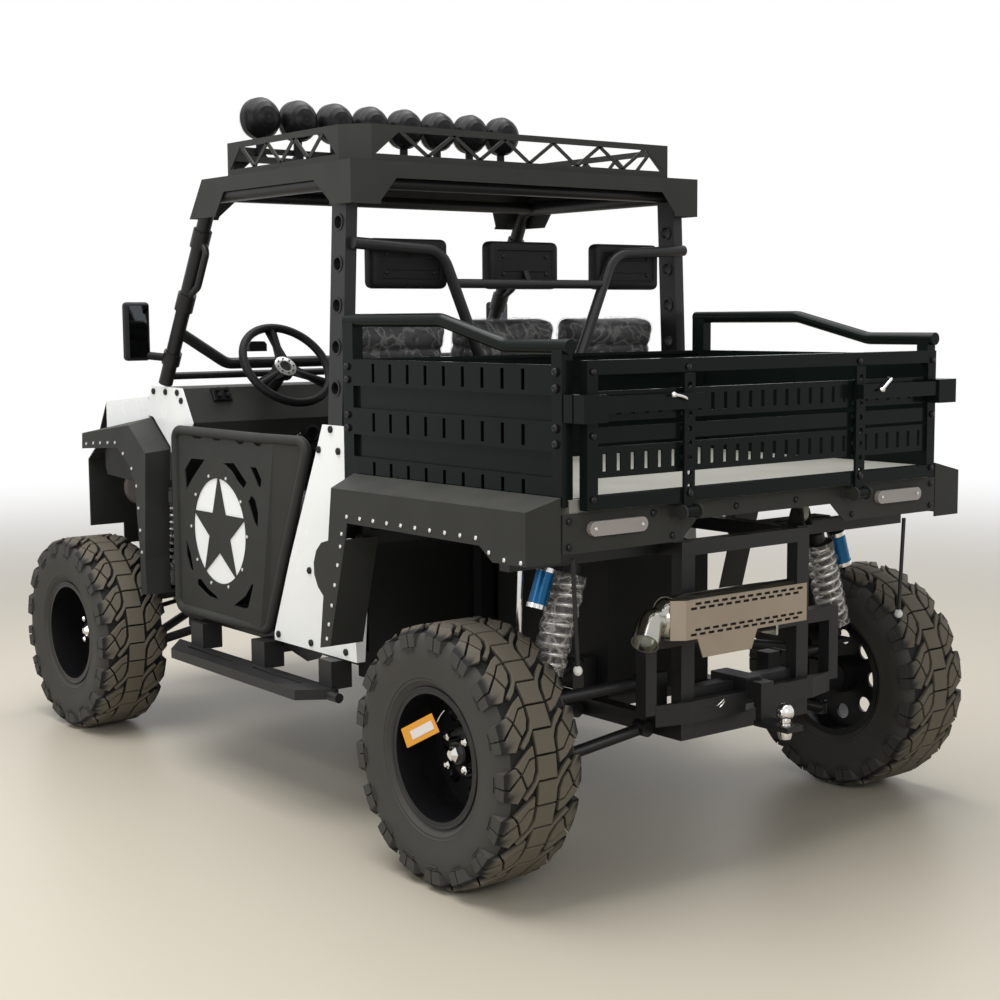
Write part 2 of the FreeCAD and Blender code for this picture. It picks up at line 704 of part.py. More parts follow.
def upper_arm(axle_y):
    """The left upper wishbone, with the plate that carries the shock's foot."""
    outer_z = TYRE_RADIUS + BALL_JOINT_RISE
    arm = wishbone(axle_y, UPPER_ARM_INNER_Z, outer_z, -1)
    foot_x, aside, foot_z = shock_of(axle_y)[0]
    top = foot_z - SHOCK_STUD
    plate = box(foot_x - SHOCK_PLATE_HALF, foot_x + SHOCK_PLATE_HALF, axle_y - SHOCK_PLATE_HALF,
                axle_y + aside + SHOCK_PLATE_HALF, top - SHOCK_PLATE, top)
    webs = [box(foot_x - SHOCK_PLATE_HALF, foot_x + SHOCK_PLATE_HALF, axle_y + y - 4, axle_y + y + 4, outer_z, top)
            for y in ((-24, 24))]
    return join([arm, plate] + webs)


def shock_of(axle_y):
    """The foot and head of the left shock of an axle."""
    return FRONT_SHOCK if axle_y < 0 else REAR_SHOCK


def shock(axle_y):
    """A left coil spring over its damper, with a stud at each end."""
    foot, head = [Vector(x, axle_y + y, z) for x, y, z in shock_of(axle_y)]
    way = (head - foot).normalize()
    length = (head - foot).Length
    coil_start, coil_end = 0.16 * length, 0.86 * length
    turn = (coil_end - coil_start) / COIL_TURNS
    profile = [(0, 0), (SHOCK_BODY_RADIUS * 0.6, 0), (SHOCK_BODY_RADIUS * 0.6, coil_start)]
    for step in range(COIL_TURNS):
        base = coil_start + step * turn
        profile += [(COIL_RADIUS - 9, base), (COIL_RADIUS, base + turn * 0.25)]
        profile += [(COIL_RADIUS, base + turn * 0.55), (COIL_RADIUS - 9, base + turn * 0.8)]
    profile += [(SHOCK_BODY_RADIUS, coil_end), (SHOCK_BODY_RADIUS, length), (0, length)]
    corners = [Vector(radius, 0, along) for radius, along in profile]
    solid = Part.Face(Part.makePolygon(corners + corners[:1])).revolve(Vector(0, 0, 0), Vector(0, 0, 1), 360)
    solid.Placement = FreeCAD.Placement(foot, FreeCAD.Rotation(Vector(0, 0, 1), way))
    rise = Vector(0, 0, SHOCK_STUD - SEAT_GAP)
    pieces = [solid, rod(tuple(foot), tuple(foot - rise), SHOCK_STUD_RADIUS),
              rod(tuple(head), tuple(head + rise), SHOCK_STUD_RADIUS)]
    if axle_y > 0:
        top, low = [(x, head.y, z) for x, z in RESERVOIR]
        pieces.append(rod(top, low, RESERVOIR_RADIUS))
        pieces.append(rod((head.x + 6, head.y, top[2] - 14), (top[0], head.y, top[2] - 14), RESERVOIR_ARM))
    return join(pieces)


# Frame


def rear_fender_under(x, y):
    """The level just under the rear fender's top at a place."""
    (_, z_front_out), (rear, z_rear_out) = REAR_FENDER_TOP_OUT
    (front_in, z_front_in), (rear, z_rear_in) = REAR_FENDER_TOP_IN
    along = (y - front_in) / (rear - front_in)
    across = (x - REAR_FENDER_IN) / (REAR_FENDER_OUT - REAR_FENDER_IN)
    z_in = z_front_in + along * (z_rear_in - z_front_in)
    z_out = z_front_out + along * (z_rear_out - z_front_out)
    return z_in + across * (z_out - z_in) - FENDER_SHEET - OUTRIGGER_GAP


def lower_frame():
    """The lower frame: two rails and the crossmembers between them."""
    half = RAIL_SIDE / 2
    top = RAIL_BOTTOM + RAIL_SIDE
    between = RAIL_X - half - SEAT_GAP
    solids = [box(-between, between, y, y + RAIL_SIDE, RAIL_BOTTOM, top) for y in CROSSMEMBERS]
    solids += both_sides(box(RAIL_X - half, RAIL_X + half, FRAME_FRONT, FRAME_REAR, RAIL_BOTTOM, top))
    return solids


def frame_posts():
    """The posts and brackets that stand on the lower rails, and the tipping pins' brackets on the upper ones."""
    half = RAIL_SIDE / 2
    low = RAIL_BOTTOM + RAIL_SIDE + SEAT_GAP
    high = UPPER_RAIL_TOP - POST_SIDE - SEAT_GAP
    inner, outer = RAIL_X - half, RAIL_X + half
    posts = [box(inner, outer, y, y + POST_SIDE, low, high)
             for y in (FRAME_FRONT, -900, CAB_REAR, FRAME_REAR - POST_SIDE)]
    posts += [box(inner, outer, y, y + SILL_SIDE, low, SILL_LOW - SILL_SIDE - SEAT_GAP) for y in SILL_BEAMS]
    for axle in (FRONT_AXLE, REAR_AXLE):
        for way in (-1, 1):
            y = axle + way * ARM_SPREAD
            posts.append(box(inner, outer, y - ARM_EYE_HALF, y + ARM_EYE_HALF, low, UPPER_ARM_INNER_Z + ARM_EYE_RADIUS))
    solids = join(posts).Solids
    return [solid for post in solids for solid in both_sides(post)] + tilt_pins()


def upper_frame():
    """The upper rails with their crossbars, the shocks' plates and the outriggers of the fenders and tail."""
    half = RAIL_SIDE / 2
    low = UPPER_RAIL_TOP - POST_SIDE
    between = RAIL_X - half - SEAT_GAP
    start = RAIL_X + half + SEAT_GAP
    solids = [box(-between, between, y, y + POST_SIDE, low, UPPER_RAIL_TOP)
              for y in (FRAME_FRONT, FRAME_REAR - POST_SIDE, CAB_REAR)]
    left = [box(RAIL_X - half, RAIL_X + half, CAB_REAR, FRAME_REAR, low, UPPER_RAIL_TOP),
            box(RAIL_X - half, RAIL_X + half, FRAME_FRONT, UPPER_FRONT_END, low, UPPER_RAIL_TOP)]
    for axle in (FRONT_AXLE, REAR_AXLE):
        head_x, aside, head_z = shock_of(axle)[1]
        left.append(box(start, head_x + SHOCK_PLATE_HALF, axle + aside - SHOCK_PLATE_HALF,
                        axle + aside + SHOCK_PLATE_HALF, head_z + SHOCK_STUD, UPPER_RAIL_TOP))
    post_in, post_out = OUTRIGGER_POST
    for y in OUTRIGGERS:
        left.append(join([box(start, post_out, y, y + POST_SIDE, low, UPPER_RAIL_TOP),
                          box(post_in, post_out, y, y + POST_SIDE, low, rear_fender_under(post_out, y))]))
    tail = FRAME_REAR - POST_SIDE
    left.append(join([box(start, TAIL_POST[1], tail, FRAME_REAR, *TAIL_BAR),
                      box(*TAIL_POST, tail, FRAME_REAR, TAIL_POST_LOW, TAIL_BAR[1])]))
    solids.append(box(-between, between, tail, FRAME_REAR, *TAIL_BAR))
    return solids + [solid for piece in left for solid in both_sides(piece)]


def sills():
    """The left sill: its tube, the beams out to it, the door's post with its hinge brackets and the fin below."""
    pieces = [box(SILL_IN, SILL_OUT, CAB_FRONT, CAB_REAR, SILL_LOW, SILL_LOW + SILL_SIDE),
              box(SILL_IN, SILL_OUT, CAB_FRONT, CAB_FRONT + POST_SIDE, SILL_LOW, DASH_LOW - SEAT_GAP),
              prism_x(SILL_FIN, SILL_OUT - SILL_FIN_THICK, SILL_OUT)]
    pieces += [box(RAIL_X - RAIL_SIDE / 2, SILL_X, y, y + SILL_SIDE, SILL_LOW - SILL_SIDE, SILL_LOW) for y in SILL_BEAMS]
    return join(pieces + door_hinge_pins())


def cab_floor():
    """The cab floor with its footwell wall and the box under the seats."""
    inner = SILL_IN - SEAT_GAP
    rear = CAB_REAR - 20
    floor = box(-inner, inner, CAB_FRONT, rear, SILL_LOW, CAB_FLOOR_TOP)
    wall = box(-inner, inner, CAB_FRONT, CAB_FRONT + 8, SILL_LOW, DASH_LOW - SEAT_GAP)
    base = box(-inner, inner, SEAT_FRONT + 40, rear - SEAT_GAP, SILL_LOW, SEAT_TOP - SEAT_THICK - SEAT_GAP)
    hollow = box(-inner + 12, inner - 12, SEAT_FRONT + 52, rear - 12, SILL_LOW - 1, SEAT_TOP - SEAT_THICK - 12)
    return join([floor, wall, base]).cut(hollow)


def pillar():
    """The left rear cab pillar, a box tube that leans in above the bed rail, with ringed holes."""
    outline = [
        (PILLAR_X, PILLAR_FOOT_Z), (PILLAR_X, PILLAR_BEND_Z), (PILLAR_TOP_X, PILLAR_TOP_Z),
        (PILLAR_TOP_X - PILLAR_WIDTH, PILLAR_TOP_Z), (PILLAR_X - PILLAR_WIDTH, PILLAR_BEND_Z),
        (PILLAR_X - PILLAR_WIDTH, PILLAR_FOOT_Z),
    ]
    post = prism_y(outline, PILLAR_FRONT, PILLAR_REAR)
    y = (PILLAR_FRONT + PILLAR_REAR) / 2
    lean = (PILLAR_X - PILLAR_TOP_X) / (PILLAR_TOP_Z - PILLAR_BEND_Z)
    for step in range(RING_COUNT):
        z = RING_FIRST_Z + step * RING_PITCH
        outer = PILLAR_X - lean * (z - PILLAR_BEND_Z) + RING_PROUD
        inner = outer - PILLAR_WIDTH - 2 * RING_PROUD
        post = post.fuse(rod((inner, y, z), (outer, y, z), RING_RADIUS))
        post = post.cut(rod((inner - 1, y, z), (outer + 1, y, z), RING_BORE))
    return post


def windscreen_pillar_at(z):
    """The centre (x, y) of the left windscreen pillar at a height."""
    share = (z - A_FOOT[2]) / (A_HEAD[2] - A_FOOT[2])
    return A_FOOT[0] + share * (A_HEAD[0] - A_FOOT[0]), A_FOOT[1] + share * (A_HEAD[1] - A_FOOT[1])


def roll_cage():
    """The round tubes: windscreen pillars with their clamps and grab handles, roof frame, dash tubes."""
    x, y, z = A_HEAD
    pillar_y = (PILLAR_FRONT + PILLAR_REAR) / 2
    top_x = PILLAR_TOP_X - PILLAR_WIDTH / 2
    half = []
    half.append(bent_tube([A_FOOT, A_HEAD, (x, PILLAR_FRONT, z)], CAGE_RADIUS, 60))
    join_x, join_y = windscreen_pillar_at(GRAB_TUBE_JOIN_Z)
    half.append(bent_tube([(join_x, join_y, GRAB_TUBE_JOIN_Z), (GRAB_TUBE_BEND_X, join_y, GRAB_TUBE_Z),
                           (0, join_y, GRAB_TUBE_Z)], CAGE_RADIUS * 0.8, 80))
    for low, high in CLAMPS:
        half.append(rod((*windscreen_pillar_at(low), low), (*windscreen_pillar_at(high), high), CLAMP_RADIUS))
    route = []
    for rearward, level in GRAB_HANDLE:
        at_x, at_y = windscreen_pillar_at(level)
        route.append((at_x, at_y + rearward, level))
    half.append(bent_tube(route, GRAB_HANDLE_RADIUS, GRAB_HANDLE_BEND))
    pieces = half + [mirrored(piece) for piece in half]
    bar_x, bar_y = windscreen_pillar_at(DASH_BAR_Z)
    pieces.append(rod((-bar_x, bar_y, DASH_BAR_Z), (bar_x, bar_y, DASH_BAR_Z), DASH_BAR_RADIUS))
    pieces.append(rod((-x, y + 60, z), (x, y + 60, z), CAGE_RADIUS * 0.8))
    pieces.append(rod((-top_x + 19, pillar_y, z), (top_x - 19, pillar_y, z), CAGE_RADIUS * 0.8))
    return join(pieces)


def rear_braces():
    """The bent tubes behind the seats and the bar between them."""
    start_x = PILLAR_X - 36
    pieces = []
    for side in (-1, 1):
        route = [(side * start_x, BRACE_Y, BRACE_TOP_Z + 18), (side * BRACE_BEND_X, BRACE_Y, BRACE_TOP_Z),
                 (side * BRACE_FOOT_X, BRACE_Y, BRACE_FOOT_Z)]
        pieces.append(bent_tube(route, BRACE_RADIUS, 90))
    run = (BRACE_BEND_X - BRACE_FOOT_X) * (CROSS_TUBE_Z - BRACE_FOOT_Z) / (BRACE_TOP_Z - BRACE_FOOT_Z)
    bar_x = BRACE_FOOT_X + run
    pieces.append(rod((-bar_x, BRACE_Y, CROSS_TUBE_Z), (bar_x, BRACE_Y, CROSS_TUBE_Z), BRACE_RADIUS * 0.8))
    return join(pieces)


def rear_bulkhead():
    """The panel behind the seats, from the seat box to the foot of the braces."""
    x = SILL_IN - SEAT_GAP
    return box(-x, x, CAB_REAR - 20, CAB_REAR - 12, CAB_FLOOR_TOP + SEAT_GAP, BRACE_FOOT_Z - 8)


# Roof


def roof():
    """The folded roof panel: flat top, skirts with arches, a leg at each corner."""
    outline = [
        (ROOF_REAR, ROOF_LEG), (ROOF_REAR, ROOF_TOP), (ROOF_FRONT_TOP, ROOF_TOP), (ROOF_FRONT_LEG, ROOF_LEG),
    ]
    t = ROOF_SHEET
    hollow = [
        (ROOF_REAR - t, ROOF_LEG - 1), (ROOF_REAR - t, ROOF_TOP - t),
        (ROOF_FRONT_TOP + t, ROOF_TOP - t), (ROOF_FRONT_LEG + 1.3 * t, ROOF_LEG - 1),
    ]
    shell = prism_x(outline, -ROOF_HALF, ROOF_HALF)
    shell = shell.cut(prism_x(hollow, -ROOF_HALF + t, ROOF_HALF - t))
    (y0, z0), top_rear, top_front, (y1, z1) = SIDE_ARCH
    side_cut = [(y0, ROOF_LEG - 1), (y0, z0), top_rear, top_front, (y1, z1), (y1, ROOF_LEG - 1)]
    shell = shell.cut(prism_x(side_cut, -ROOF_HALF - 1, ROOF_HALF + 1))
    rear_cut = [
        (-REAR_ARCH_LOW, ROOF_LEG - 1), (-REAR_ARCH_LOW, z0), (-REAR_ARCH_HIGH, ROOF_ARCH),
        (REAR_ARCH_HIGH, ROOF_ARCH), (REAR_ARCH_LOW, z0), (REAR_ARCH_LOW, ROOF_LEG - 1),
    ]
    return shell.cut(prism_y(rear_cut, ROOF_FRONT_LEG - 1, ROOF_REAR + 1))


def truss_windows(start, end, count):
    """Triangles between two ends of a rack side: (along, height) outlines, point up and down in turn."""
    low = RACK_BASE + RACK_RAIL
    high = RACK_TOP - RACK_RAIL
    pitch = (end - start) / (count + 1)
    lean = RACK_STRUT / 2
    outlines = []
    for step in range(count):
        left = start + step * pitch + lean
        right = start + (step + 2) * pitch - lean
        middle = (left + right) / 2
        wide, narrow = (low, high) if step % 2 == 0 else (high, low)
        outlines.append([(left, wide), (right, wide), (middle + lean, narrow), (middle - lean, narrow)])
    return outlines


def rack_ring(inset):
    """The rack's plan with its cut corners, drawn in by an inset."""
    x, rear, front = RACK_HALF - inset, RACK_REAR - inset, RACK_FRONT + inset
    cut_x, cut_y = RACK_CORNER_X - 0.6 * inset, RACK_CORNER_Y - 0.6 * inset
    return [(x, rear - cut_y), (x - cut_x, rear), (-x + cut_x, rear), (-x, rear - cut_y),
            (-x, front + cut_y), (-x + cut_x, front), (x - cut_x, front), (x, front + cut_y)]


def roof_rack():
    """The rack of folded plate on the roof: four open sides, cut corners and a lamp bar."""
    sheet, low = RACK_SHEET, ROOF_TOP + SEAT_GAP
    wall = prism_z(rack_ring(0), low, RACK_TOP).cut(prism_z(rack_ring(sheet), low - 1, RACK_TOP + 1))
    ledge = prism_z(rack_ring(1), low, low + sheet).cut(prism_z(rack_ring(RACK_LEDGE), low - 1, low + sheet + 1))
    rack = wall.fuse(ledge)
    for outline in truss_windows(RACK_FRONT + RACK_CORNER_Y + 8, RACK_REAR - RACK_CORNER_Y - 8, SIDE_TRUSSES):
        rack = rack.cut(prism_x(outline, -RACK_HALF - 1, RACK_HALF + 1))
    end = RACK_HALF - RACK_CORNER_X - 8
    for outline in truss_windows(-end, end, REAR_TRUSSES):
        rack = rack.cut(prism_y(outline, RACK_FRONT - 1, RACK_REAR + 1))
    bar = box(-RACK_HALF + sheet - 1, RACK_HALF - sheet + 1, *LAMP_BAR_Y, *LAMP_BAR_Z)
    return join([rack, bar.common(prism_z(rack_ring(1), RACK_BASE, RACK_TOP))])


def roof_lamps():
    """The row of round lamps on the rack's bar, each a domed bowl behind its bezel, on a bracket."""
    first_y = LAMP_BEZEL[0][0]
    profile = [(first_y, 0.0)] + list(LAMP_BEZEL) + list(LAMP_DOME)
    corners = [Vector(radius, y, 0) for y, radius in profile]
    bowl = Part.Face(Part.makePolygon(corners + corners[:1])).revolve(Vector(0, 0, 0), Vector(0, 1, 0), 360)
    wide, thick = LAMP_STEM
    middle = (LAMP_BAR_Y[0] + LAMP_BAR_Y[1]) / 2
    lamps = []
    for step in range(LAMP_COUNT):
        x = (step - (LAMP_COUNT - 1) / 2) * LAMP_PITCH
        head = bowl.copy()
        head.translate(Vector(x, 0, LAMP_Z))
        stem = box(x - wide / 2, x + wide / 2, middle - thick / 2, middle + thick / 2, LAMP_BAR_Z[1] + SEAT_GAP,
                   LAMP_Z - LAMP_RADIUS + thick)
        foot = box(x - wide / 2, x + wide / 2, *LAMP_BAR_Y, LAMP_BAR_Z[1] + SEAT_GAP, LAMP_BAR_Z[1] + thick)
        lamps.append(join([head, stem, foot]))
    return lamps


# Doors


def door_tube():
    """The left door's tube, bent round its whole outline."""
    start = (DOOR_TUBE_X, DISC_CENTRE_Y, DOOR_LOW)
    route = [start, (DOOR_TUBE_X, DOOR_FRONT, DOOR_LOW), (DOOR_TUBE_X, DOOR_FRONT, DOOR_TOP), DOOR_TOP_BEND,
             DOOR_REAR_TOP, DOOR_REAR_LOW, start]
    return bent_tube(route, DOOR_TUBE_RADIUS, DOOR_BEND)


def star_outline(y, z, radius, waist):
    """A five-pointed star in the side view, one point up."""
    points = []
    for step in range(10):
        turn = math.radians(90 + 36 * step)
        reach = radius if step % 2 == 0 else waist
        points.append((y + reach * math.cos(turn), z + reach * math.sin(turn)))
    return points


def door_skin():
    """The left door's sheets: the front one with the star's openings and windows, the rear one folded inward."""
    inner, outer = DOOR_TUBE_X - DOOR_SHEET / 2, DOOR_TUBE_X + DOOR_SHEET / 2
    front = [(DOOR_FRONT, DOOR_LOW), DOOR_FOLD_LOW, DOOR_FOLD_TOP, (DOOR_FRONT, DOOR_TOP)]
    sheet = prism_x(front, inner, outer)
    star = prism_x(star_outline(DISC_CENTRE_Y, DISC_CENTRE_Z, STAR_RADIUS, STAR_WAIST), inner - 2, outer + 2)
    centre = (DISC_CENTRE_Y, DISC_CENTRE_Z)
    sheet = sheet.cut(rod((inner - 1, *centre), (outer + 1, *centre), STAR_DISC_RADIUS).cut(star))
    for window in DOOR_WINDOWS:
        sheet = sheet.cut(prism_x(window, inner - 1, outer + 1))
    for start, end, low in DOOR_NOTCHES:
        top = DOOR_TOP - DOOR_TUBE_RADIUS + 1
        notch = [(start, top), (end, top), (end - DOOR_NOTCH_SLANT, low), (start + DOOR_NOTCH_SLANT, low)]
        sheet = sheet.cut(prism_x(notch,
                                  inner - 1, outer + 1))
    fold_low, fold_top = (outer, *DOOR_FOLD_LOW), (outer, *DOOR_FOLD_TOP)
    rear_low = (DOOR_REAR_LOW[0] + DOOR_SHEET / 2, DOOR_REAR_LOW[1] + 1, DOOR_LOW + 6)
    rear_top = (DOOR_REAR_TOP[0] + DOOR_SHEET / 2, DOOR_REAR_TOP[1] - 4, DOOR_TOP - 4)
    inward = (-DOOR_SHEET, 0, 0)
    return [sheet, prism([fold_low, rear_low, fold_top], inward), prism([fold_top, rear_low, rear_top], inward)]


def door():
    """The left door: bent tube, sheets and its hinge eyes."""
    pieces = [door_tube()] + door_skin()
    for z in HINGE_LEVELS:
        eye = rod((HINGE_X, HINGE_Y, z), (HINGE_X, HINGE_Y, z + HINGE_EYE_HEIGHT), HINGE_EYE_RADIUS)
        leaf = box(HINGE_X - 4, HINGE_X + 4, HINGE_Y + 6, DOOR_FRONT, z, z + HINGE_EYE_HEIGHT)
        pieces.append(eye.fuse(leaf).cut(
            rod((HINGE_X, HINGE_Y, z - 1), (HINGE_X, HINGE_Y, z + HINGE_EYE_HEIGHT + 1), HINGE_PIN_RADIUS + RUNNING_GAP)))
    return join(pieces)


def door_disc():
    """The left door's round plate, which shows white behind the star's openings."""
    outer = DOOR_TUBE_X - DOOR_SHEET / 2 - SEAT_GAP
    back = (outer - DISC_SHEET, DISC_CENTRE_Y, DISC_CENTRE_Z)
    return rod(back, (outer, DISC_CENTRE_Y, DISC_CENTRE_Z), STAR_PLATE_RADIUS)


def door_hinge_pins():
    """The left door's hinge brackets on its post, each two plates with the pin between them."""
    post = SILL_X + SILL_SIDE / 2
    pieces = []
    for z in HINGE_LEVELS:
        low = z - HINGE_PLAY - HINGE_PLATE
        high = z + HINGE_EYE_HEIGHT + HINGE_PLAY + HINGE_PLATE
        pieces.append(rod((HINGE_X, HINGE_Y, low), (HINGE_X, HINGE_Y, high), HINGE_PIN_RADIUS))
        for base in (low, high - HINGE_PLATE):
            top = (HINGE_X, HINGE_Y, base + HINGE_PLATE)
            pieces.append(rod((HINGE_X, HINGE_Y, base), top, HINGE_EYE_RADIUS - 2))
            pieces.append(box(post - 1, HINGE_X, HINGE_Y - HINGE_EYE_RADIUS + 2, HINGE_Y + HINGE_EYE_RADIUS - 2,
                              base, base + HINGE_PLATE))
    return pieces


# Body panels


def side_panel():
    """The left white panel behind the door, with the flange folded in at its rear edge."""
    sheet = prism_x(PANEL_OUTLINE, PANEL_X - PANEL_SHEET, PANEL_X)
    (low_y, low_z), (high_y, high_z) = PANEL_OUTLINE[1:3]
    share = (PANEL_FLANGE_TOP - low_z) / (high_z - low_z)
    edge_y = low_y + share * (high_y - low_y)
    (in_low, z0), (in_high, z1) = PANEL_FLANGE
    corners = [(PANEL_X - 1, low_y, z0), (PANEL_X - 1, edge_y, z1), (in_high, edge_y, z1), (in_low, low_y, z0)]
    flange = prism(corners, (0, -PANEL_SHEET, 0))
    return sheet.fuse(flange).removeSplitter()


def cowl_panel():
    """The left white panel beside the dashboard."""
    return prism_x(COWL_SIDE, COWL_X - PANEL_SHEET, COWL_X)


def hood():
    """The white hood: a top that slopes to the nose, and two sides."""
    rear_low, rear_top, front_top, front_low = HOOD_SIDE
    sheet = HOOD_SHEET
    hollow = [(rear_low[0] + 1, rear_low[1] - 9), (rear_top[0] + 1, rear_top[1] - sheet),
              (front_top[0] - 1, front_top[1] - sheet), (front_low[0] - 1, front_low[1] - 9)]
    return prism_x(HOOD_SIDE, -HOOD_HALF, HOOD_HALF).cut(prism_x(hollow, -HOOD_HALF + sheet, HOOD_HALF - sheet))


def dashboard():
    """The dashboard: a closed housing between the cowl panels, with the column's way through it."""
    x = COWL_X - PANEL_SHEET
    column = Part.makeCylinder(COLUMN_RADIUS + SEAT_GAP, 2 * COLUMN_LENGTH, Vector(0, 0, -2 * COLUMN_LENGTH))
    return prism_x(DASH_SIDE, -x, x).cut(steer_frame(column))


def sheet_of(corners):
    """A sheet of fender thickness under a flat or twisted outline of four corners."""
    first, second, third, fourth = corners
    down = (0, 0, -FENDER_SHEET)
    return [prism([first, second, third], down), prism([first, third, fourth], down)]


def front_fender():
    """The left front fender: two facets that meet in a ridge, the arched outer face, the wall behind and the liner."""
    sheet, outer, inner = FENDER_SHEET, FENDER_OUT, FENDER_IN
    tip, ridge, corner = [(outer, *place) for place in (FENDER_TIP, FENDER_RIDGE, FENDER_CORNER)]
    in_tip, in_ridge, in_corner = [(inner, *place) for place in (FENDER_IN_TIP, FENDER_IN_RIDGE, FENDER_IN_CORNER)]
    pieces = sheet_of([tip, ridge, in_ridge, in_tip]) + sheet_of([ridge, corner, in_corner, in_ridge])
    face = [FENDER_TIP, FENDER_RIDGE, FENDER_CORNER, *FENDER_BACK, *FENDER_ARCH]
    pieces.append(prism_x(face, outer - sheet, outer))
    back = [FENDER_CORNER, *FENDER_BACK]
    wall = back + [(y - sheet, z) for y, z in reversed(back)]
    pieces.append(prism_x(wall, inner, outer))
    shelf_rear = HOOD_SIDE[0][0]
    run = (shelf_rear - FENDER_IN_TIP[0]) / (FENDER_IN_RIDGE[0] - FENDER_IN_TIP[0])
    shelf_z = FENDER_IN_TIP[1] + run * (FENDER_IN_RIDGE[1] - FENDER_IN_TIP[1])
    shelf = [FENDER_IN_TIP, (shelf_rear, shelf_z)]
    shelf += [(y, z - sheet) for y, z in reversed(shelf)]
    pieces.append(prism_x(shelf, FENDER_SHELF_IN, inner + 1))
    liner = [FENDER_IN_TIP, (shelf_rear, shelf_z)] + list(reversed(FENDER_LINER))
    pieces.append(prism_x(liner, FENDER_SHELF_IN, FENDER_SHELF_IN + sheet))
    return join(pieces)


def rear_fender():
    """The left rear fender: sloping top, outer face with its arch and front leg, and its two end walls."""
    sheet, inner, outer = FENDER_SHEET, REAR_FENDER_IN, REAR_FENDER_OUT
    (front_out, z_front_out), (rear, z_rear_out) = REAR_FENDER_TOP_OUT
    (front_in, z_front_in), (rear, z_rear_in) = REAR_FENDER_TOP_IN
    top = [(outer, front_out, z_front_out), (outer, rear, z_rear_out), (inner, rear, z_rear_in),
           (inner, front_in, z_front_in)]
    pieces = sheet_of(top)
    pieces.append(prism_x(list(REAR_FENDER_TOP_OUT) + list(REAR_FENDER_ARCH), outer - sheet, outer))
    end = [(inner, z_rear_in), (outer, z_rear_out), (outer, REAR_FENDER_END), (inner, REAR_FENDER_END)]
    pieces.append(prism_y(end, rear - sheet, rear))
    (high_y, high_z), (low_y, low_z) = REAR_FENDER_LEG
    leg = [(high_y - sheet, high_z), (high_y, high_z), (low_y, low_z), (low_y - sheet, low_z)]
    pieces.append(prism_x(leg, inner, outer))
    foot_y, foot_z = REAR_FENDER_ARCH[-1]
    rise = z_front_in - sheet - foot_z
    lean = (front_out - foot_y) / (z_front_out - sheet / 2 - foot_z)
    front = [(inner, foot_y + lean * rise, foot_z + rise), (outer, front_out, z_front_out - sheet / 2),
             (outer, foot_y, foot_z), (inner, foot_y, foot_z)]
    pieces.append(prism(front, (0, sheet, 0)))
    return join(pieces)


def nose():
    """The front panel with its grille slots, the lamps' holes and two tabs to the frame."""
    outer = list(NOSE_PROFILE)
    (rear, top), (bend, _), *face = outer
    sheet = NOSE_SHEET
    inner = [(rear, top - sheet), (bend + sheet / 2, top - sheet)]
    inner += [(y + sheet, z - sheet / 2) for y, z in face[:-1]] + [(face[-1][0] + sheet, face[-1][1])]
    panel = prism_x(outer + inner[::-1], -NOSE_HALF, NOSE_HALF)
    front, low = face[-1]
    for side in (-1, 1):
        panel = panel.cut(box(side * NOSE_LOW_HALF, side * (NOSE_HALF + 1), front - 1, front + 20, low - 1, NOSE_STEP))
        x = side * RAIL_X
        panel = panel.fuse(box(x - 20, x + 20, front + sheet - 1, FRAME_FRONT - SEAT_GAP,
                               UPPER_RAIL_TOP - POST_SIDE, UPPER_RAIL_TOP))
        x = side * HEADLAMP_X
        panel = panel.cut(rod((x, front - 1, HEADLAMP_Z), (x, front + 20, HEADLAMP_Z), HEADLAMP_RADIUS + SEAT_GAP))
    for step in range(GRILLE_SLOTS):
        z = GRILLE_FIRST + step * GRILLE_PITCH
        for x0, x1 in ((-GRILLE_HALF, -RAIL_X - 30), (-RAIL_X + 30, RAIL_X - 30), (RAIL_X + 30, GRILLE_HALF)):
            panel = panel.cut(box(x0, x1, front - 1, front + sheet + 1, z, z + GRILLE_SLOT))
    return panel


def headlamp():
    """The left round headlamp."""
    return rod((HEADLAMP_X, HEADLAMP_Y[0], HEADLAMP_Z), (HEADLAMP_X, HEADLAMP_Y[1], HEADLAMP_Z), HEADLAMP_RADIUS)


def front_bumper():
    """The tube bumper on its two plates, with the winch plate between them."""
    hoop = bent_tube([(-BUMPER_HALF, FRAME_FRONT - 30, 560), (-BUMPER_HALF + 60, BUMPER_Y, 560),
                      (BUMPER_HALF - 60, BUMPER_Y, 560),
                      (BUMPER_HALF, FRAME_FRONT - 30, 560)], BUMPER_RADIUS, 60)
    top = bent_tube([(-300, BUMPER_Y, 560), (-300, BUMPER_Y, 860), (300, BUMPER_Y, 860), (300, BUMPER_Y, 560)],
                    BUMPER_RADIUS, 70)
    pieces = [hoop, top]
    for side in (-1, 1):
        x = side * RAIL_X
        pieces.append(box(x - 8, x + 8, BUMPER_Y, FRAME_FRONT - 0.3, RAIL_BOTTOM, 600))
    pieces.append(box(-RAIL_X, RAIL_X, BUMPER_Y + 20, FRAME_FRONT - 0.3, WINCH_PLATE_TOP - 8, WINCH_PLATE_TOP))
    bumper = join(pieces)
    for x in (-WINCH_BOLTS_X / 2, WINCH_BOLTS_X / 2):
        for y in (WINCH_Y - WINCH_BOLTS_Y / 2, WINCH_Y + WINCH_BOLTS_Y / 2):
            bumper = bumper.cut(rod((x, y, WINCH_PLATE_TOP - 9), (x, y, WINCH_PLATE_TOP + 1), WINCH_HOLE_RADIUS))
    return bumper


# Load bed


def plank(x0, x1, y, z, way):
    """A channel plank across the bed: face, top and bottom lips turned towards way."""
    t = PLANK_SHEET
    face = box(x0, x1, y, y + way * t, z, z + PLANK_FACE)
    lips = [box(x0, x1, y, y + way * PLANK_LIP, level, level + t) for level in (z, z + PLANK_FACE - t)]
    return join([face] + lips)


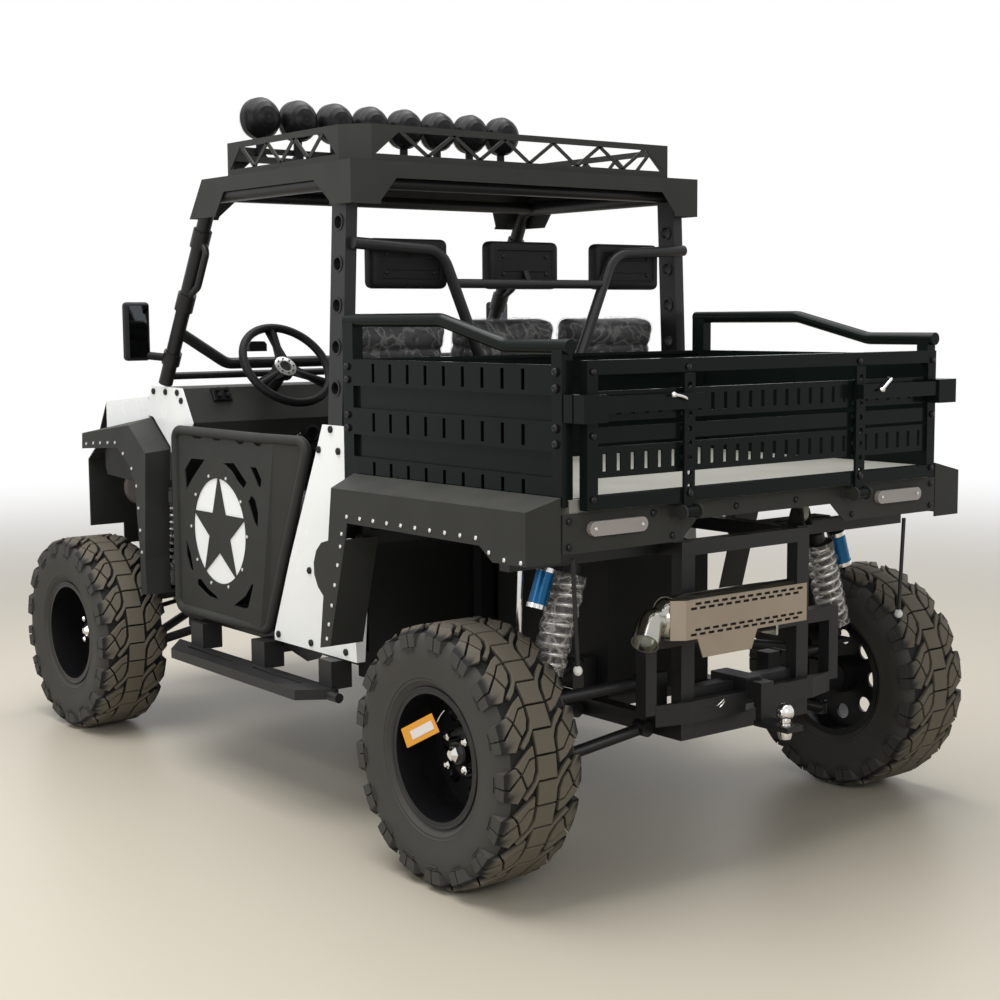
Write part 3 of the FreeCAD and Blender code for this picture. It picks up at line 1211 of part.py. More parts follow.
def side_plank(y0, y1, z):
    """A channel plank along the left side, its lips turned inward and its face slotted."""
    t, x = PLANK_SHEET, BED_HALF
    face = box(x - t, x, y0, y1, z, z + PLANK_FACE)
    middle = z + PLANK_FACE / 2
    for step in range(PLANK_SLOTS):
        y = PLANK_SLOT_FIRST + step * PLANK_SLOT_PITCH
        face = face.cut(box(x - t - 1, x + 1, y - PLANK_SLOT_WIDTH / 2, y + PLANK_SLOT_WIDTH / 2,
                            middle - PLANK_SLOT_HEIGHT / 2, middle + PLANK_SLOT_HEIGHT / 2))
    lips = [box(x - PLANK_LIP, x, y0, y1, level, level + t) for level in (z, z + PLANK_FACE - t)]
    return join([face] + lips)


def bed_floor():
    """The bed's floor on its two beams, with the tipping eyes."""
    edge = BED_FLOOR_TOP - BED_PANEL_RISE
    pieces = [box(-BED_HALF + 20, BED_HALF - 20, BED_FRONT, BED_REAR, BED_FLOOR_TOP - BED_FLOOR_THICK, edge),
              box(-BED_PANEL_HALF, BED_PANEL_HALF, BED_PANEL_FRONT, BED_PANEL_REAR, edge - 1, BED_FLOOR_TOP)]
    for side in (-1, 1):
        x = side * BED_BEAM_X
        beam = box(x - 20, x + 20, BED_FRONT + 20, BED_REAR, BED_BEAM_LOW, BED_BEAM_TOP)
        lug = box(x - 10, x + 10, TILT_Y - TILT_EYE_RADIUS, TILT_Y + TILT_EYE_RADIUS, TILT_Z, BED_BEAM_LOW + 1)
        eye = rod((x - 10, TILT_Y, TILT_Z), (x + 10, TILT_Y, TILT_Z), TILT_EYE_RADIUS)
        pieces += [beam, lug, eye]
    for y in (BED_FRONT + 10, BED_REAR - 40):
        pieces.append(box(-BED_HALF + 24, BED_HALF - 24, y, y + 40, BED_BEAM_LOW + 16, BED_BEAM_TOP))
    floor = join(pieces)
    for side in (-1, 1):
        x = side * BED_BEAM_X
        floor = floor.cut(rod((x - 11, TILT_Y, TILT_Z), (x + 11, TILT_Y, TILT_Z), TILT_PIN_RADIUS + RUNNING_GAP))
    return floor


def bed_walls():
    """The bed's side and front walls: posts, planks and the raised side rails."""
    x = BED_HALF
    front, rear = BED_FRONT + BED_FRONT_POST, BED_REAR - BED_REAR_POST
    pieces = []
    for side in (-1, 1):
        edge = side * x
        pieces.append(box(edge, edge - side * BED_POST, BED_FRONT, front, BED_FLOOR_TOP - 20, RAIL_FRONT_Z))
        pieces.append(box(edge, edge - side * BED_POST, rear, BED_REAR, BED_FLOOR_TOP - 20, RAIL_REAR_Z))
        rail_x = side * (x - RAIL_INSET)
        pieces.append(bent_tube([(rail_x, BED_FRONT, RAIL_FRONT_Z), (rail_x, RAIL_BEND_FRONT, RAIL_FRONT_Z),
                                 (rail_x, RAIL_BEND_REAR, RAIL_REAR_Z), (rail_x, BED_REAR + 14, RAIL_REAR_Z)],
                                RAIL_RADIUS, 110))
        pieces.append(box(side * (GATE_HALF + 7), side * LATCH_BLOCK_X[1], BED_REAR - 2, LATCH_SPLIT, *LATCH_BLOCK_Z))
    low = BED_FLOOR_TOP - 10
    for step in range(PLANK_COUNT):
        z = PLANK_FIRST_Z + step * PLANK_PITCH
        pieces += both_sides(side_plank(front - 1, rear + 1, z))
        pieces.append(plank(-x + BED_POST - 1, x - BED_POST + 1, BED_FRONT + 4, z, 1))
    pieces += both_sides(box(x - WALL_BACK, x - WALL_BACK + 3, front - 1, rear + 1, low, BED_WALL_TOP))
    inner = x - BED_POST + 1
    pieces.append(box(-inner, inner, BED_FRONT + 12, BED_FRONT + 15, low, BED_WALL_TOP))
    pieces.append(box(-inner, inner, BED_FRONT, BED_FRONT + 30, BED_WALL_TOP - 10, BED_WALL_TOP))
    return join(pieces).cut(box(-x + 20, x - 20, BED_FRONT - 1, BED_REAR + 1, BED_FLOOR_TOP - 60,
                                BED_FLOOR_TOP - BED_PANEL_RISE + SEAT_GAP))


def tail_plate():
    """The bed's rear plate, cut up in the middle, with the tailgate's hinge ears and pins."""
    outer = TAIL_PLATE_Y
    outline = [
        (-TAIL_PLATE_HALF, TAIL_PLATE_LOW), (-TAIL_NOTCH_LOW, TAIL_PLATE_LOW), (-TAIL_NOTCH_HIGH, TAIL_PLATE_NOTCH),
        (TAIL_NOTCH_HIGH, TAIL_PLATE_NOTCH), (TAIL_NOTCH_LOW, TAIL_PLATE_LOW), (TAIL_PLATE_HALF, TAIL_PLATE_LOW),
        (TAIL_PLATE_HALF, TAIL_PLATE_TOP), (-TAIL_PLATE_HALF, TAIL_PLATE_TOP),
    ]
    plate = prism_y(outline, outer - TAIL_PLATE_THICK, outer)
    pieces = [plate]
    inner = STRAP_WIDTH / 2 + GATE_EAR_GAP
    outer_x = inner + GATE_EAR_THICK
    for side in (-1, 1):
        x = side * GATE_HINGE_X
        for way in (-1, 1):
            near, far = x + way * inner, x + way * outer_x
            pieces.append(rod((near, GATE_HINGE_Y, GATE_HINGE_Z), (far, GATE_HINGE_Y, GATE_HINGE_Z), GATE_EAR_RADIUS))
            pieces.append(box(near, far, outer - 1, GATE_HINGE_Y, GATE_HINGE_Z - 14, GATE_HINGE_Z + 14))
        pieces.append(rod((x - outer_x, GATE_HINGE_Y, GATE_HINGE_Z), (x + outer_x, GATE_HINGE_Y, GATE_HINGE_Z),
                          GATE_PIN_RADIUS))
    return join(pieces)


def marker_lamp():
    """The left marker lamp on the rear plate, a flat bar with round ends."""
    half = MARKER_LENGTH / 2 - MARKER_HEIGHT / 2
    y0, y1 = TAIL_PLATE_Y, TAIL_PLATE_Y + 14
    ends = [rod((MARKER_X + way * half, y0, MARKER_Z), (MARKER_X + way * half, y1, MARKER_Z), MARKER_HEIGHT / 2)
            for way in (-1, 1)]
    middle = box(MARKER_X - half, MARKER_X + half, y0, y1, MARKER_Z - MARKER_HEIGHT / 2, MARKER_Z + MARKER_HEIGHT / 2)
    return join(ends + [middle])


def slotted_plank(low, high):
    """One of the tailgate's slotted planks, a channel open to the bed."""
    face = GATE_OUTER - GATE_PLANK_RECESS
    half = GATE_HALF - GATE_RAIL - JOINT_GAP
    sheet = box(-half, half, face - GATE_SHEET, face, low, high)
    middle = (low + high) / 2
    for step in range(GATE_SLOTS):
        x = (step - (GATE_SLOTS - 1) / 2) * GATE_SLOT_PITCH
        sheet = sheet.cut(box(x - GATE_SLOT_WIDTH / 2, x + GATE_SLOT_WIDTH / 2, face - GATE_SHEET - 1, face + 1,
                              middle - GATE_SLOT_HEIGHT / 2, middle + GATE_SLOT_HEIGHT / 2))
    lips = [box(-half, half, face - GATE_LIP, face - GATE_SHEET + 1, level, level + GATE_SHEET)
            for level in (low, high - GATE_SHEET)]
    return sheet.fuse(lips)


def gate_strap(x):
    """A hinge strap with its row of holes and its foot bored for the hinge pin."""
    half = STRAP_WIDTH / 2
    inner = GATE_OUTER + JOINT_GAP
    strap = box(x - half, x + half, inner, GATE_OUTER + STRAP_PROUD, GATE_HINGE_Z, STRAP_TOP)
    for step in range(STRAP_HOLES):
        z = STRAP_HOLE_FIRST + step * STRAP_HOLE_PITCH
        strap = strap.cut(rod((x, inner - 1, z), (x, GATE_OUTER + STRAP_PROUD + 1, z), STRAP_HOLE_RADIUS))
    foot = rod((x - half, GATE_HINGE_Y, GATE_HINGE_Z), (x + half, GATE_HINGE_Y, GATE_HINGE_Z), GATE_FOOT_RADIUS)
    bore = rod((x - half - 1, GATE_HINGE_Y, GATE_HINGE_Z), (x + half + 1, GATE_HINGE_Y, GATE_HINGE_Z),
               GATE_PIN_RADIUS + RUNNING_GAP)
    return strap.fuse(foot).cut(bore)


def tailgate():
    """The tailgate: uprights, rails, two slotted planks, a plain one, the latch bars and the hinge straps."""
    y0, y1 = GATE_OUTER - GATE_THICK, GATE_OUTER
    inner = GATE_HALF - GATE_RAIL
    between = inner - JOINT_GAP
    face = y1 - GATE_PLANK_RECESS
    pieces = [box(-between, between, y0, y1, GATE_BOTTOM, GATE_BOTTOM + GATE_RAIL),
              box(-between, between, y0, y1, GATE_TOP - GATE_RAIL, GATE_TOP),
              box(-between, between, face - GATE_SHEET, face, *GATE_PLAIN)]
    pieces += [slotted_plank(low, high) for low, high in GATE_SLOTTED]
    bar_front = y1 + STRAP_PROUD + JOINT_GAP
    bar_end, block_end = LATCH_BLOCK_X
    for side in (-1, 1):
        pieces.append(box(side * inner, side * GATE_HALF, y0, y1, GATE_BOTTOM, GATE_TOP))
        pieces.append(gate_strap(side * GATE_HINGE_X))
        pieces.append(box(side * (GATE_HINGE_X - STRAP_WIDTH / 2), side * (bar_end - JOINT_GAP), bar_front,
                          bar_front + LATCH_BAR_DEPTH, *LATCH_BAR))
        pieces.append(box(side * bar_end, side * block_end, y1 + JOINT_GAP, LATCH_BLOCK_REAR, *LATCH_BLOCK_Z))
    return pieces


# Seats


def seat_cushions():
    """The three seat cushions."""
    half = SEAT_WIDTH / 2
    pads = [box(x - half, x + half, SEAT_FRONT, SEAT_REAR, SEAT_TOP - SEAT_THICK, SEAT_TOP) for x in SEAT_XS]
    return [pad.makeFillet(SEAT_EDGE, pad.Edges) for pad in pads]


def seat_backs():
    """The three seat backs, leaning back."""
    half = SEAT_WIDTH / 2
    foot = SEAT_REAR - BACK_THICK + 20
    outline = [
        (foot, SEAT_TOP + 0.3), (foot + BACK_LEAN, BACK_TOP), (foot + BACK_LEAN + BACK_THICK * 0.7, BACK_TOP - 20),
        (foot + BACK_THICK + 20, SEAT_TOP + 0.3),
    ]
    pads = [prism_x(outline, x - half, x + half) for x in SEAT_XS]
    return [pad.makeFillet(SEAT_EDGE, pad.Edges) for pad in pads]


def headrests():
    """The three headrests with their mounting plates."""
    half = HEADREST_WIDTH / 2
    low = HEADREST_Z - HEADREST_HEIGHT / 2
    front = HEADREST_REAR - HEADREST_THICK
    pads = []
    for x in SEAT_XS:
        pad = box(x - half, x + half, front, HEADREST_REAR, low, low + HEADREST_HEIGHT)
        pad = pad.makeFillet(18, pad.Edges)
        reach, z = (BRACE_Y - BRACE_RADIUS, BRACE_TOP_Z + 6) if x else (BRACE_Y - BRACE_RADIUS * 0.8, CROSS_TUBE_Z)
        pads.append(pad.fuse(box(x - 30, x + 30, HEADREST_REAR - 6, reach - SEAT_GAP, z - 12, z + 12)))
    return pads


# Steering


def steer_frame(shape):
    """Places a shape drawn about the upright axis onto the steering axis."""
    turn = FreeCAD.Rotation(Vector(1, 0, 0), -(90 - STEER_LEAN))
    shape.Placement = FreeCAD.Placement(Vector(*STEER_CENTRE), turn)
    return shape


def steering_wheel():
    """The steering wheel: rim, three spokes and hub."""
    ring = Part.makeTorus(STEER_RIM_RADIUS, STEER_GRIP_RADIUS)
    hub = Part.makeCylinder(STEER_HUB_RADIUS, 30, Vector(0, 0, -40))
    pieces = [ring, hub]
    for degrees in (-90, 30, 150):
        turn = math.radians(degrees)
        end = Vector(STEER_RIM_RADIUS * math.cos(turn), STEER_RIM_RADIUS * math.sin(turn), 0)
        pieces.append(rod((0, 0, -22), tuple(end), 10))
    wheel = join(pieces)
    wheel = wheel.cut(Part.makeCylinder(10 + RUNNING_GAP, 22, Vector(0, 0, -41)))
    return steer_frame(wheel)


def steering_column():
    """The column that carries the steering wheel, with its shaft's end."""
    tube = Part.makeCylinder(COLUMN_RADIUS, COLUMN_LENGTH, Vector(0, 0, -COLUMN_LENGTH - 44))
    shaft = Part.makeCylinder(10, 26, Vector(0, 0, -46))
    return steer_frame(join([tube, shaft]))


def rack_housing():
    """The tube that guides the steering rack, on its foot over the crossmember."""
    y = FRONT_AXLE - STEER_ARM_LENGTH
    half = RACK_HOUSING_HALF
    tube = rod((-half, y, RACK_BAR_Z), (half, y, RACK_BAR_Z), RACK_HOUSING_RADIUS)
    foot = box(-half + 20, half - 20, y - 16, y + 16, RAIL_BOTTOM + RAIL_SIDE + SEAT_GAP, RACK_BAR_Z)
    bore = rod((-half - 1, y, RACK_BAR_Z), (half + 1, y, RACK_BAR_Z), RACK_BAR_RADIUS + RUNNING_GAP)
    return tube.fuse(foot).cut(bore)


def steering_rack():
    """The sliding rack with a tie rod to each knuckle's steering arm."""
    y = FRONT_AXLE - STEER_ARM_LENGTH
    pieces = [rod((-RACK_BAR_HALF, y, RACK_BAR_Z), (RACK_BAR_HALF, y, RACK_BAR_Z), RACK_BAR_RADIUS)]
    end_x = KINGPIN_X - ROD_END_INSET
    end_z = TYRE_RADIUS + SEAT_GAP
    for side in (-1, 1):
        pieces.append(rod((side * (RACK_BAR_HALF - 16), y, RACK_BAR_Z), (side * (RACK_BAR_HALF + 16), y, RACK_BAR_Z),
                          ROD_END_RADIUS + 2))
        pieces.append(rod((side * RACK_BAR_HALF, y, RACK_BAR_Z), (side * end_x, y, end_z + 14), TIE_ROD_RADIUS))
        pieces.append(rod((side * end_x, y, end_z), (side * end_x, y, end_z + 28), ROD_END_RADIUS))
    return join(pieces)


# Fittings


def side_step():
    """The left step: a folded channel with two slots and cut corners, a tube under it, on three brackets."""
    low = STEP_TOP - STEP_THICK
    step = prism_z(STEP_OUTLINE, low, STEP_TOP).cut(prism_z(STEP_HOLLOW, low - 1, STEP_TOP - STEP_SHEET))
    for y0, y1 in STEP_SLOTS:
        step = step.cut(box(*STEP_SLOT_X, y0, y1, STEP_TOP - STEP_SHEET - 1, STEP_TOP + 1))
    pieces = [step, rod(*STEP_TUBE, STEP_TUBE_RADIUS)]
    for y0, y1 in STEP_POSTS:
        pieces.append(box(SILL_OUT + SEAT_GAP, STEP_POST_OUT, y0, y1, STEP_TOP - STEP_SHEET - 1, STEP_POST_TOP))
        pieces.append(box(STEP_OUTLINE[0][0] + 1, STEP_POST_OUT, y0, y1, STEP_TUBE[0][2], STEP_TOP - STEP_SHEET))
    return join(pieces)


def mirror():
    """The left mirror on its arm from the windscreen pillar's clamp."""
    head = box(MIRROR_X - MIRROR_WIDTH / 2, MIRROR_X + MIRROR_WIDTH / 2, MIRROR_Y - MIRROR_THICK, MIRROR_Y,
               MIRROR_Z - MIRROR_HEIGHT / 2, MIRROR_Z + MIRROR_HEIGHT / 2)
    head = head.makeFillet(14, head.Edges)
    x, y = windscreen_pillar_at(MIRROR_ARM_Z)
    arm = rod((x, y, MIRROR_ARM_Z), (MIRROR_X - 20, MIRROR_Y - MIRROR_THICK / 2, MIRROR_ARM_Z + 12), MIRROR_ARM_RADIUS)
    return join([head, arm.cut(rod(A_FOOT, A_HEAD, CLAMP_RADIUS + SEAT_GAP))])


def muffler():
    """The muffler's canister with its domed end and bent outlet, on two hangers, with the shield's bosses."""
    can = rod((MUFFLER_RIGHT, MUFFLER_Y, MUFFLER_Z), (MUFFLER_LEFT, MUFFLER_Y, MUFFLER_Z), MUFFLER_RADIUS)
    dome = Part.makeSphere(MUFFLER_DOME, Vector(MUFFLER_LEFT, MUFFLER_Y, MUFFLER_Z))
    outlet = bent_tube(OUTLET_ROUTE, OUTLET_RADIUS, OUTLET_RADIUS + 4)
    before, end = [Vector(*place) for place in OUTLET_ROUTE[-2:]]
    back = end + (before - end).normalize() * OUTLET_DEPTH
    hangers = [box(x, x + 8, FRAME_REAR + SEAT_GAP, MUFFLER_Y, TAIL_BAR[0], MUFFLER_Z - 30) for x in (100, -60)]
    shield = MUFFLER_Y + MUFFLER_RADIUS + SHIELD_GAP - SEAT_GAP
    bosses = [rod((x, MUFFLER_Y, MUFFLER_Z), (x, shield, MUFFLER_Z), 8) for x in MUFFLER_BOSSES]
    return join([can, dome, outlet] + hangers + bosses).cut(rod(tuple(back), tuple(end + (end - back)), OUTLET_BORE))


def heat_shield():
    """The slotted plate over the muffler's rear, with its folded end and lower tab."""
    y = MUFFLER_Y + MUFFLER_RADIUS + SHIELD_GAP
    plate = box(SHIELD_RIGHT, SHIELD_LEFT, y, y + SHIELD_SHEET, SHIELD_LOW, SHIELD_TOP)
    long, high = SHIELD_SLOT
    for row, z in enumerate(SHIELD_ROWS):
        for step in range(SHIELD_SLOTS):
            shift = step - (SHIELD_SLOTS - 1) / 2 + 0.25 * (-1) ** row
            x = (SHIELD_LEFT + SHIELD_RIGHT) / 2 + shift * SHIELD_SLOT_PITCH
            plate = plate.cut(box(x - long / 2, x + long / 2, y - 1, y + SHIELD_SHEET + 1, z - high / 2, z + high / 2))
    fold_x, fold_y = SHIELD_FOLD
    fold = prism_z([(SHIELD_LEFT, y), (SHIELD_LEFT, y + SHIELD_SHEET), (fold_x, fold_y + SHIELD_SHEET), (fold_x, fold_y)],
                   SHIELD_LOW, SHIELD_TOP)
    tab = prism_y(SHIELD_TAB, y, y + SHIELD_SHEET)
    return join([plate, fold, tab])


def tow_hitch():
    """The receiver tube, the drop mount in it and the tow ball."""
    half = HITCH_OUTER / 2
    bore = HITCH_BORE / 2
    tube = box(-half, half, 1330, 1470, HITCH_Z - half, HITCH_Z + half)
    tube = tube.cut(box(-bore, bore, 1329, 1471, HITCH_Z - bore, HITCH_Z + bore))
    arms = both_sides(box(half, RAIL_X - RAIL_SIDE / 2 - JOINT_GAP, 1380, 1420, HITCH_Z - 20, HITCH_Z + 20))
    wings = [prism_z([(side * x, y) for x, y in HITCH_WING], *HITCH_WING_Z) for side in (-1, 1)]
    return join([tube] + arms + wings)


def ball_mount():
    """The drop mount that slides in the receiver, with the tow ball on it."""
    bore = HITCH_BORE / 2 - 0.5
    bar = box(-bore, bore, 1350, 1520, HITCH_Z - bore, HITCH_Z + bore)
    drop = box(-bore, bore, 1500, 1520, 376, HITCH_Z + bore)
    shelf = box(-32, 32, 1500, TONGUE_END, 372, 388)
    neck = rod((0, BALL_Y, 387), (0, BALL_Y, BALL_Z), 15)
    ball = Part.makeSphere(BALL_RADIUS, Vector(0, BALL_Y, BALL_Z))
    return join([bar, drop, shelf, neck, ball])


def tilt_pins():
    """The two brackets on the frame that carry the bed's tipping pins."""
    brackets = []
    foot = UPPER_RAIL_TOP + SEAT_GAP
    for side in (-1, 1):
        x = side * TILT_X
        pieces = [rod((x - 24, TILT_Y, TILT_Z), (x + 24, TILT_Y, TILT_Z), TILT_PIN_RADIUS)]
        for way in (-1, 1):
            ear = way * 12
            pieces.append(prism_x([(TILT_Y - 34, foot), (TILT_Y + 34, foot), (TILT_Y + 18, TILT_Z + 16),
                                   (TILT_Y - 18, TILT_Z + 16)], x + ear, x + ear + way * 8))
        base = box(side * (RAIL_X - 20), x + side * 22, TILT_Y - 34, TILT_Y + 34, foot, foot + 4)
        pieces.append(base)
        brackets.append(join(pieces))
    return brackets


def main():
    """Builds every sub-part and writes its STEP file."""
    os.makedirs("parts", exist_ok=True)
    wheels = {
        "fl": (WHEEL_X, FRONT_AXLE, 1), "fr": (-WHEEL_X, FRONT_AXLE, -1),
        "rl": (WHEEL_X, REAR_AXLE, 1), "rr": (-WHEEL_X, REAR_AXLE, -1),
    }
    for place, (x, y, side) in wheels.items():
        write("tyre_" + place, [tyre((x, y, TYRE_RADIUS))])
        write("rim_" + place, [rim((x, y, TYRE_RADIUS), side)])
    write("knuckle_left", [knuckle()])
    write("knuckle_right", [mirrored(knuckle())])
    write("rear_knuckles", both_sides(knuckle_body(REAR_AXLE)))
    arms = [arm(axle) for axle in (FRONT_AXLE, REAR_AXLE) for arm in (lower_arm, upper_arm)]
    write("suspension_arms", arms + [mirrored(arm) for arm in arms])
    write("shocks", both_sides(shock(FRONT_AXLE)) + both_sides(shock(REAR_AXLE)))
    write("lower_frame", lower_frame())
    write("frame_posts", frame_posts())
    write("upper_frame", upper_frame())
    write("sills", both_sides(sills()))
    write("cab_floor", [cab_floor()])
    write("rear_pillars", both_sides(pillar()))
    write("roll_cage", [roll_cage()])
    write("rear_braces", [rear_braces()])
    write("rear_bulkhead", [rear_bulkhead()])
    write("roof", [roof()])
    write("roof_rack", [roof_rack()])
    write("roof_lamps", roof_lamps())
    write("door_left", [door()])
    write("door_right", [mirrored(door())])
    write("door_disc_left", [door_disc()])
    write("door_disc_right", [mirrored(door_disc())])
    write("side_panels", both_sides(side_panel()) + both_sides(cowl_panel()))
    write("hood", [hood()])
    write("dashboard", [dashboard()])
    write("front_fenders", both_sides(front_fender()))
    write("rear_fenders", both_sides(rear_fender()))
    write("nose", [nose()])
    write("headlamps", both_sides(headlamp()))
    write("front_bumper", [front_bumper()])
    write("bed_floor", [bed_floor()])
    write("bed_walls", [bed_walls()])
    write("tail_plate", [tail_plate()])
    write("marker_lamps", both_sides(marker_lamp()))
    write("tailgate", tailgate())
    write("seat_cushions", seat_cushions())
    write("seat_backs", seat_backs())
    write("headrests", headrests())
    write("steering_wheel", [steering_wheel()])
    write("steering_gear", [steering_column(), rack_housing()])
    write("steering_rack", [steering_rack()])
    write("side_steps", both_sides(side_step()))
    write("mirrors", both_sides(mirror()))
    write("muffler", [muffler()])
    write("heat_shield", [heat_shield()])
    write("tow_hitch", [tow_hitch()])
    write("ball_mount", [ball_mount()])
    write("engine_block", [box(-ENGINE_HALF, ENGINE_HALF, ENGINE_FRONT, ENGINE_REAR, ENGINE_LOW, ENGINE_TOP)])


main()
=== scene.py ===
"""The looks of a side by side utility vehicle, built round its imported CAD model.

Lengths are metres in the model's own frame: X to the vehicle's left, Y to its rear, Z up.
"""

from __future__ import annotations

import json
import logging
import math
from contextlib import contextmanager
from dataclasses import dataclass, field
from enum import Enum
from typing import Callable, Iterator, Sequence

import bmesh
import bpy
from mathutils import Euler, Matrix, Vector, noise

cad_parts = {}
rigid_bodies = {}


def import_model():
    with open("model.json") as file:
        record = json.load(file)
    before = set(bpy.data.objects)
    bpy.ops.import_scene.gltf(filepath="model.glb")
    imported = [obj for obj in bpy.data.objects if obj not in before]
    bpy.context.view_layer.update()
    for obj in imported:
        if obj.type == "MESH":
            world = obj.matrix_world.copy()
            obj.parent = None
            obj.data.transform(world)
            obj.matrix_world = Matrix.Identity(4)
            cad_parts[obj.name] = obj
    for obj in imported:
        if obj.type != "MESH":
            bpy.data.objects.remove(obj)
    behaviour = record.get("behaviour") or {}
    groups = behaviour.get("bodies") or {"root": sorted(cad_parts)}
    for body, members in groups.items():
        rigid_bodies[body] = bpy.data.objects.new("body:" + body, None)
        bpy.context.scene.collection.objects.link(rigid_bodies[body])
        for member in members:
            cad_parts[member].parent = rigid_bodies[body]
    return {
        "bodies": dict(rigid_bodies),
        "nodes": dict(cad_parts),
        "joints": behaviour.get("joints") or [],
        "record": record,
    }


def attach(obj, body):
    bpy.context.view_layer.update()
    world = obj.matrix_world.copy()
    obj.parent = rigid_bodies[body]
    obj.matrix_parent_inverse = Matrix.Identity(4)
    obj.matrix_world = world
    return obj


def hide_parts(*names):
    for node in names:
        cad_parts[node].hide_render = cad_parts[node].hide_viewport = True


LOG = logging.getLogger("utv")

Place = tuple[float, float, float]
Flat = tuple[float, float]
Colour = tuple[float, float, float]
Piece = bpy.types.Object
Socket = bpy.types.NodeSocket

# The CAD nodes' objects by name, filled when the frame is loaded
NODES: dict[str, Piece] = {}

# Turns for forms that are drawn about the X axis or flat in XY
UPWARD = Matrix.Rotation(-math.pi / 2, 4, "Y")
FLAT_TO_SIDE = Matrix(((0, 0, 1, 0), (1, 0, 0, 0), (0, 1, 0, 0), (0, 0, 0, 1)))
FLAT_TO_REAR = Matrix.Rotation(math.pi / 2, 4, "X")
FLAT_MIRRORED_TO_REAR = Matrix(((1, 0, 0, 0), (0, 0, 1, 0), (0, 1, 0, 0), (0, 0, 0, 1)))


# Tools for meshes


def select_only(*pieces: Piece) -> None:
    """Selects these objects alone, and makes the first one active."""
    bpy.ops.object.select_all(action="DESELECT")
    for piece in pieces:
        piece.select_set(True)
    bpy.context.view_layer.objects.active = pieces[0]


@contextmanager
def editing(piece: Piece, kind: str = "FACE") -> Iterator[None]:
    """Opens a piece in edit mode with all of it selected.

    Args:
        piece: The mesh object to edit.
        kind: The select mode, VERT, EDGE or FACE.
    """
    select_only(piece)
    bpy.ops.object.mode_set(mode="EDIT")
    bpy.ops.mesh.select_mode(type=kind)
    bpy.ops.mesh.select_all(action="SELECT")
    try:
        yield
    finally:
        bpy.ops.object.mode_set(mode="OBJECT")


def pick_faces(piece: Piece, test: Callable[[bmesh.types.BMFace], bool]) -> None:
    """Selects the faces of a piece in edit mode that pass a test.

    Args:
        piece: The mesh object in edit mode.
        test: Tells whether a face is wanted.
    """
    bpy.ops.mesh.select_all(action="DESELECT")
    mesh = bmesh.from_edit_mesh(piece.data)
    for face in mesh.faces:
        face.select_set(test(face))
    bmesh.update_edit_mesh(piece.data)


def added(name: str) -> Piece:
    """Names the primitive that was just added and returns it."""
    piece = bpy.context.active_object
    piece.name = name
    piece.data.name = name
    return piece


def linked(name: str, data: bpy.types.ID) -> Piece:
    """A new object in the scene that shows this mesh or curve."""
    piece = bpy.data.objects.new(name, data)
    bpy.context.scene.collection.objects.link(piece)
    return piece


def settle(piece: Piece) -> Piece:
    """Puts a piece's place, turn and scale into its mesh."""
    select_only(piece)
    bpy.ops.object.transform_apply(location=True, rotation=True, scale=True)
    return piece


def turned(piece: Piece, matrix: Matrix) -> Piece:
    """Moves a piece's mesh by a matrix and returns the piece."""
    piece.data.transform(matrix)
    return piece


def outward(point: Sequence[float], way: Vector) -> Matrix:
    """The move of a form drawn up the Z axis to a point, so that it stands up along a way."""
    return Matrix.Translation(point) @ way.to_track_quat("Z", "Y").to_matrix().to_4x4()


def modify(piece: Piece, kind: str, **settings: object) -> None:
    """Adds a modifier to a piece and applies it.

    Args:
        piece: The mesh object.
        kind: The modifier's type.
        settings: The modifier's properties by name.
    """
    modifier = piece.modifiers.new(kind.title(), kind)
    for name, value in settings.items():
        setattr(modifier, name, value)
    select_only(piece)
    bpy.ops.object.modifier_apply(modifier=modifier.name)


def mend_normals(piece: Piece) -> None:
    """Merges a piece's doubles and turns its faces outwards."""
    with editing(piece, "VERT"):
        bpy.ops.mesh.remove_doubles(threshold=1e-5)
        bpy.ops.mesh.normals_make_consistent(inside=False)


def smooth(piece: Piece, degrees: float = 32.0) -> None:
    """Shades a piece smooth apart from its sharp edges."""
    select_only(piece)
    bpy.ops.object.shade_smooth_by_angle(angle=math.radians(degrees))


def merge(name: str, pieces: Sequence[Piece]) -> Piece:
    """Joins several pieces into one.

    Args:
        name: The name of the joined piece.
        pieces: The mesh objects.

    Returns:
        The joined piece, at the origin.
    """
    for piece in pieces:
        settle(piece)
    select_only(*pieces)
    if len(pieces) > 1:
        bpy.ops.object.join()
    return added(name)


def plate(name: str, outline: Sequence[Flat], thick: float, bevel: float = 0.0) -> Piece:
    """A flat block whose outline lies in XY, from z 0 up.

    Args:
        name: The piece's name.
        outline: The corners in order.
        thick: Its height.
        bevel: The bevel of its upper edges, or 0.

    Returns:
        The block.
    """
    bpy.ops.mesh.primitive_circle_add(vertices=len(outline), radius=1, fill_type="NGON")
    block = added(name)
    for vertex, (x, y) in zip(block.data.vertices, outline):
        vertex.co = (x, y, 0.0)
    with editing(block):
        bpy.ops.mesh.extrude_region_move(TRANSFORM_OT_translate={"value": (0, 0, thick)})
        bpy.ops.mesh.select_all(action="SELECT")
        bpy.ops.mesh.normals_make_consistent(inside=False)
        if bevel:
            pick_faces(block, lambda face: face.calc_center_median().z > thick * 0.99)
            bpy.ops.mesh.bevel(offset=bevel, segments=1)
    return block


def rectangle(name: str, x_half: float, y_half: float, thick: float, bevel: float = 0.0) -> Piece:
    """A flat rectangular block about the origin, from z 0 up."""
    corners = [(-x_half, -y_half), (x_half, -y_half), (x_half, y_half), (-x_half, y_half)]
    return plate(name, corners, thick, bevel)


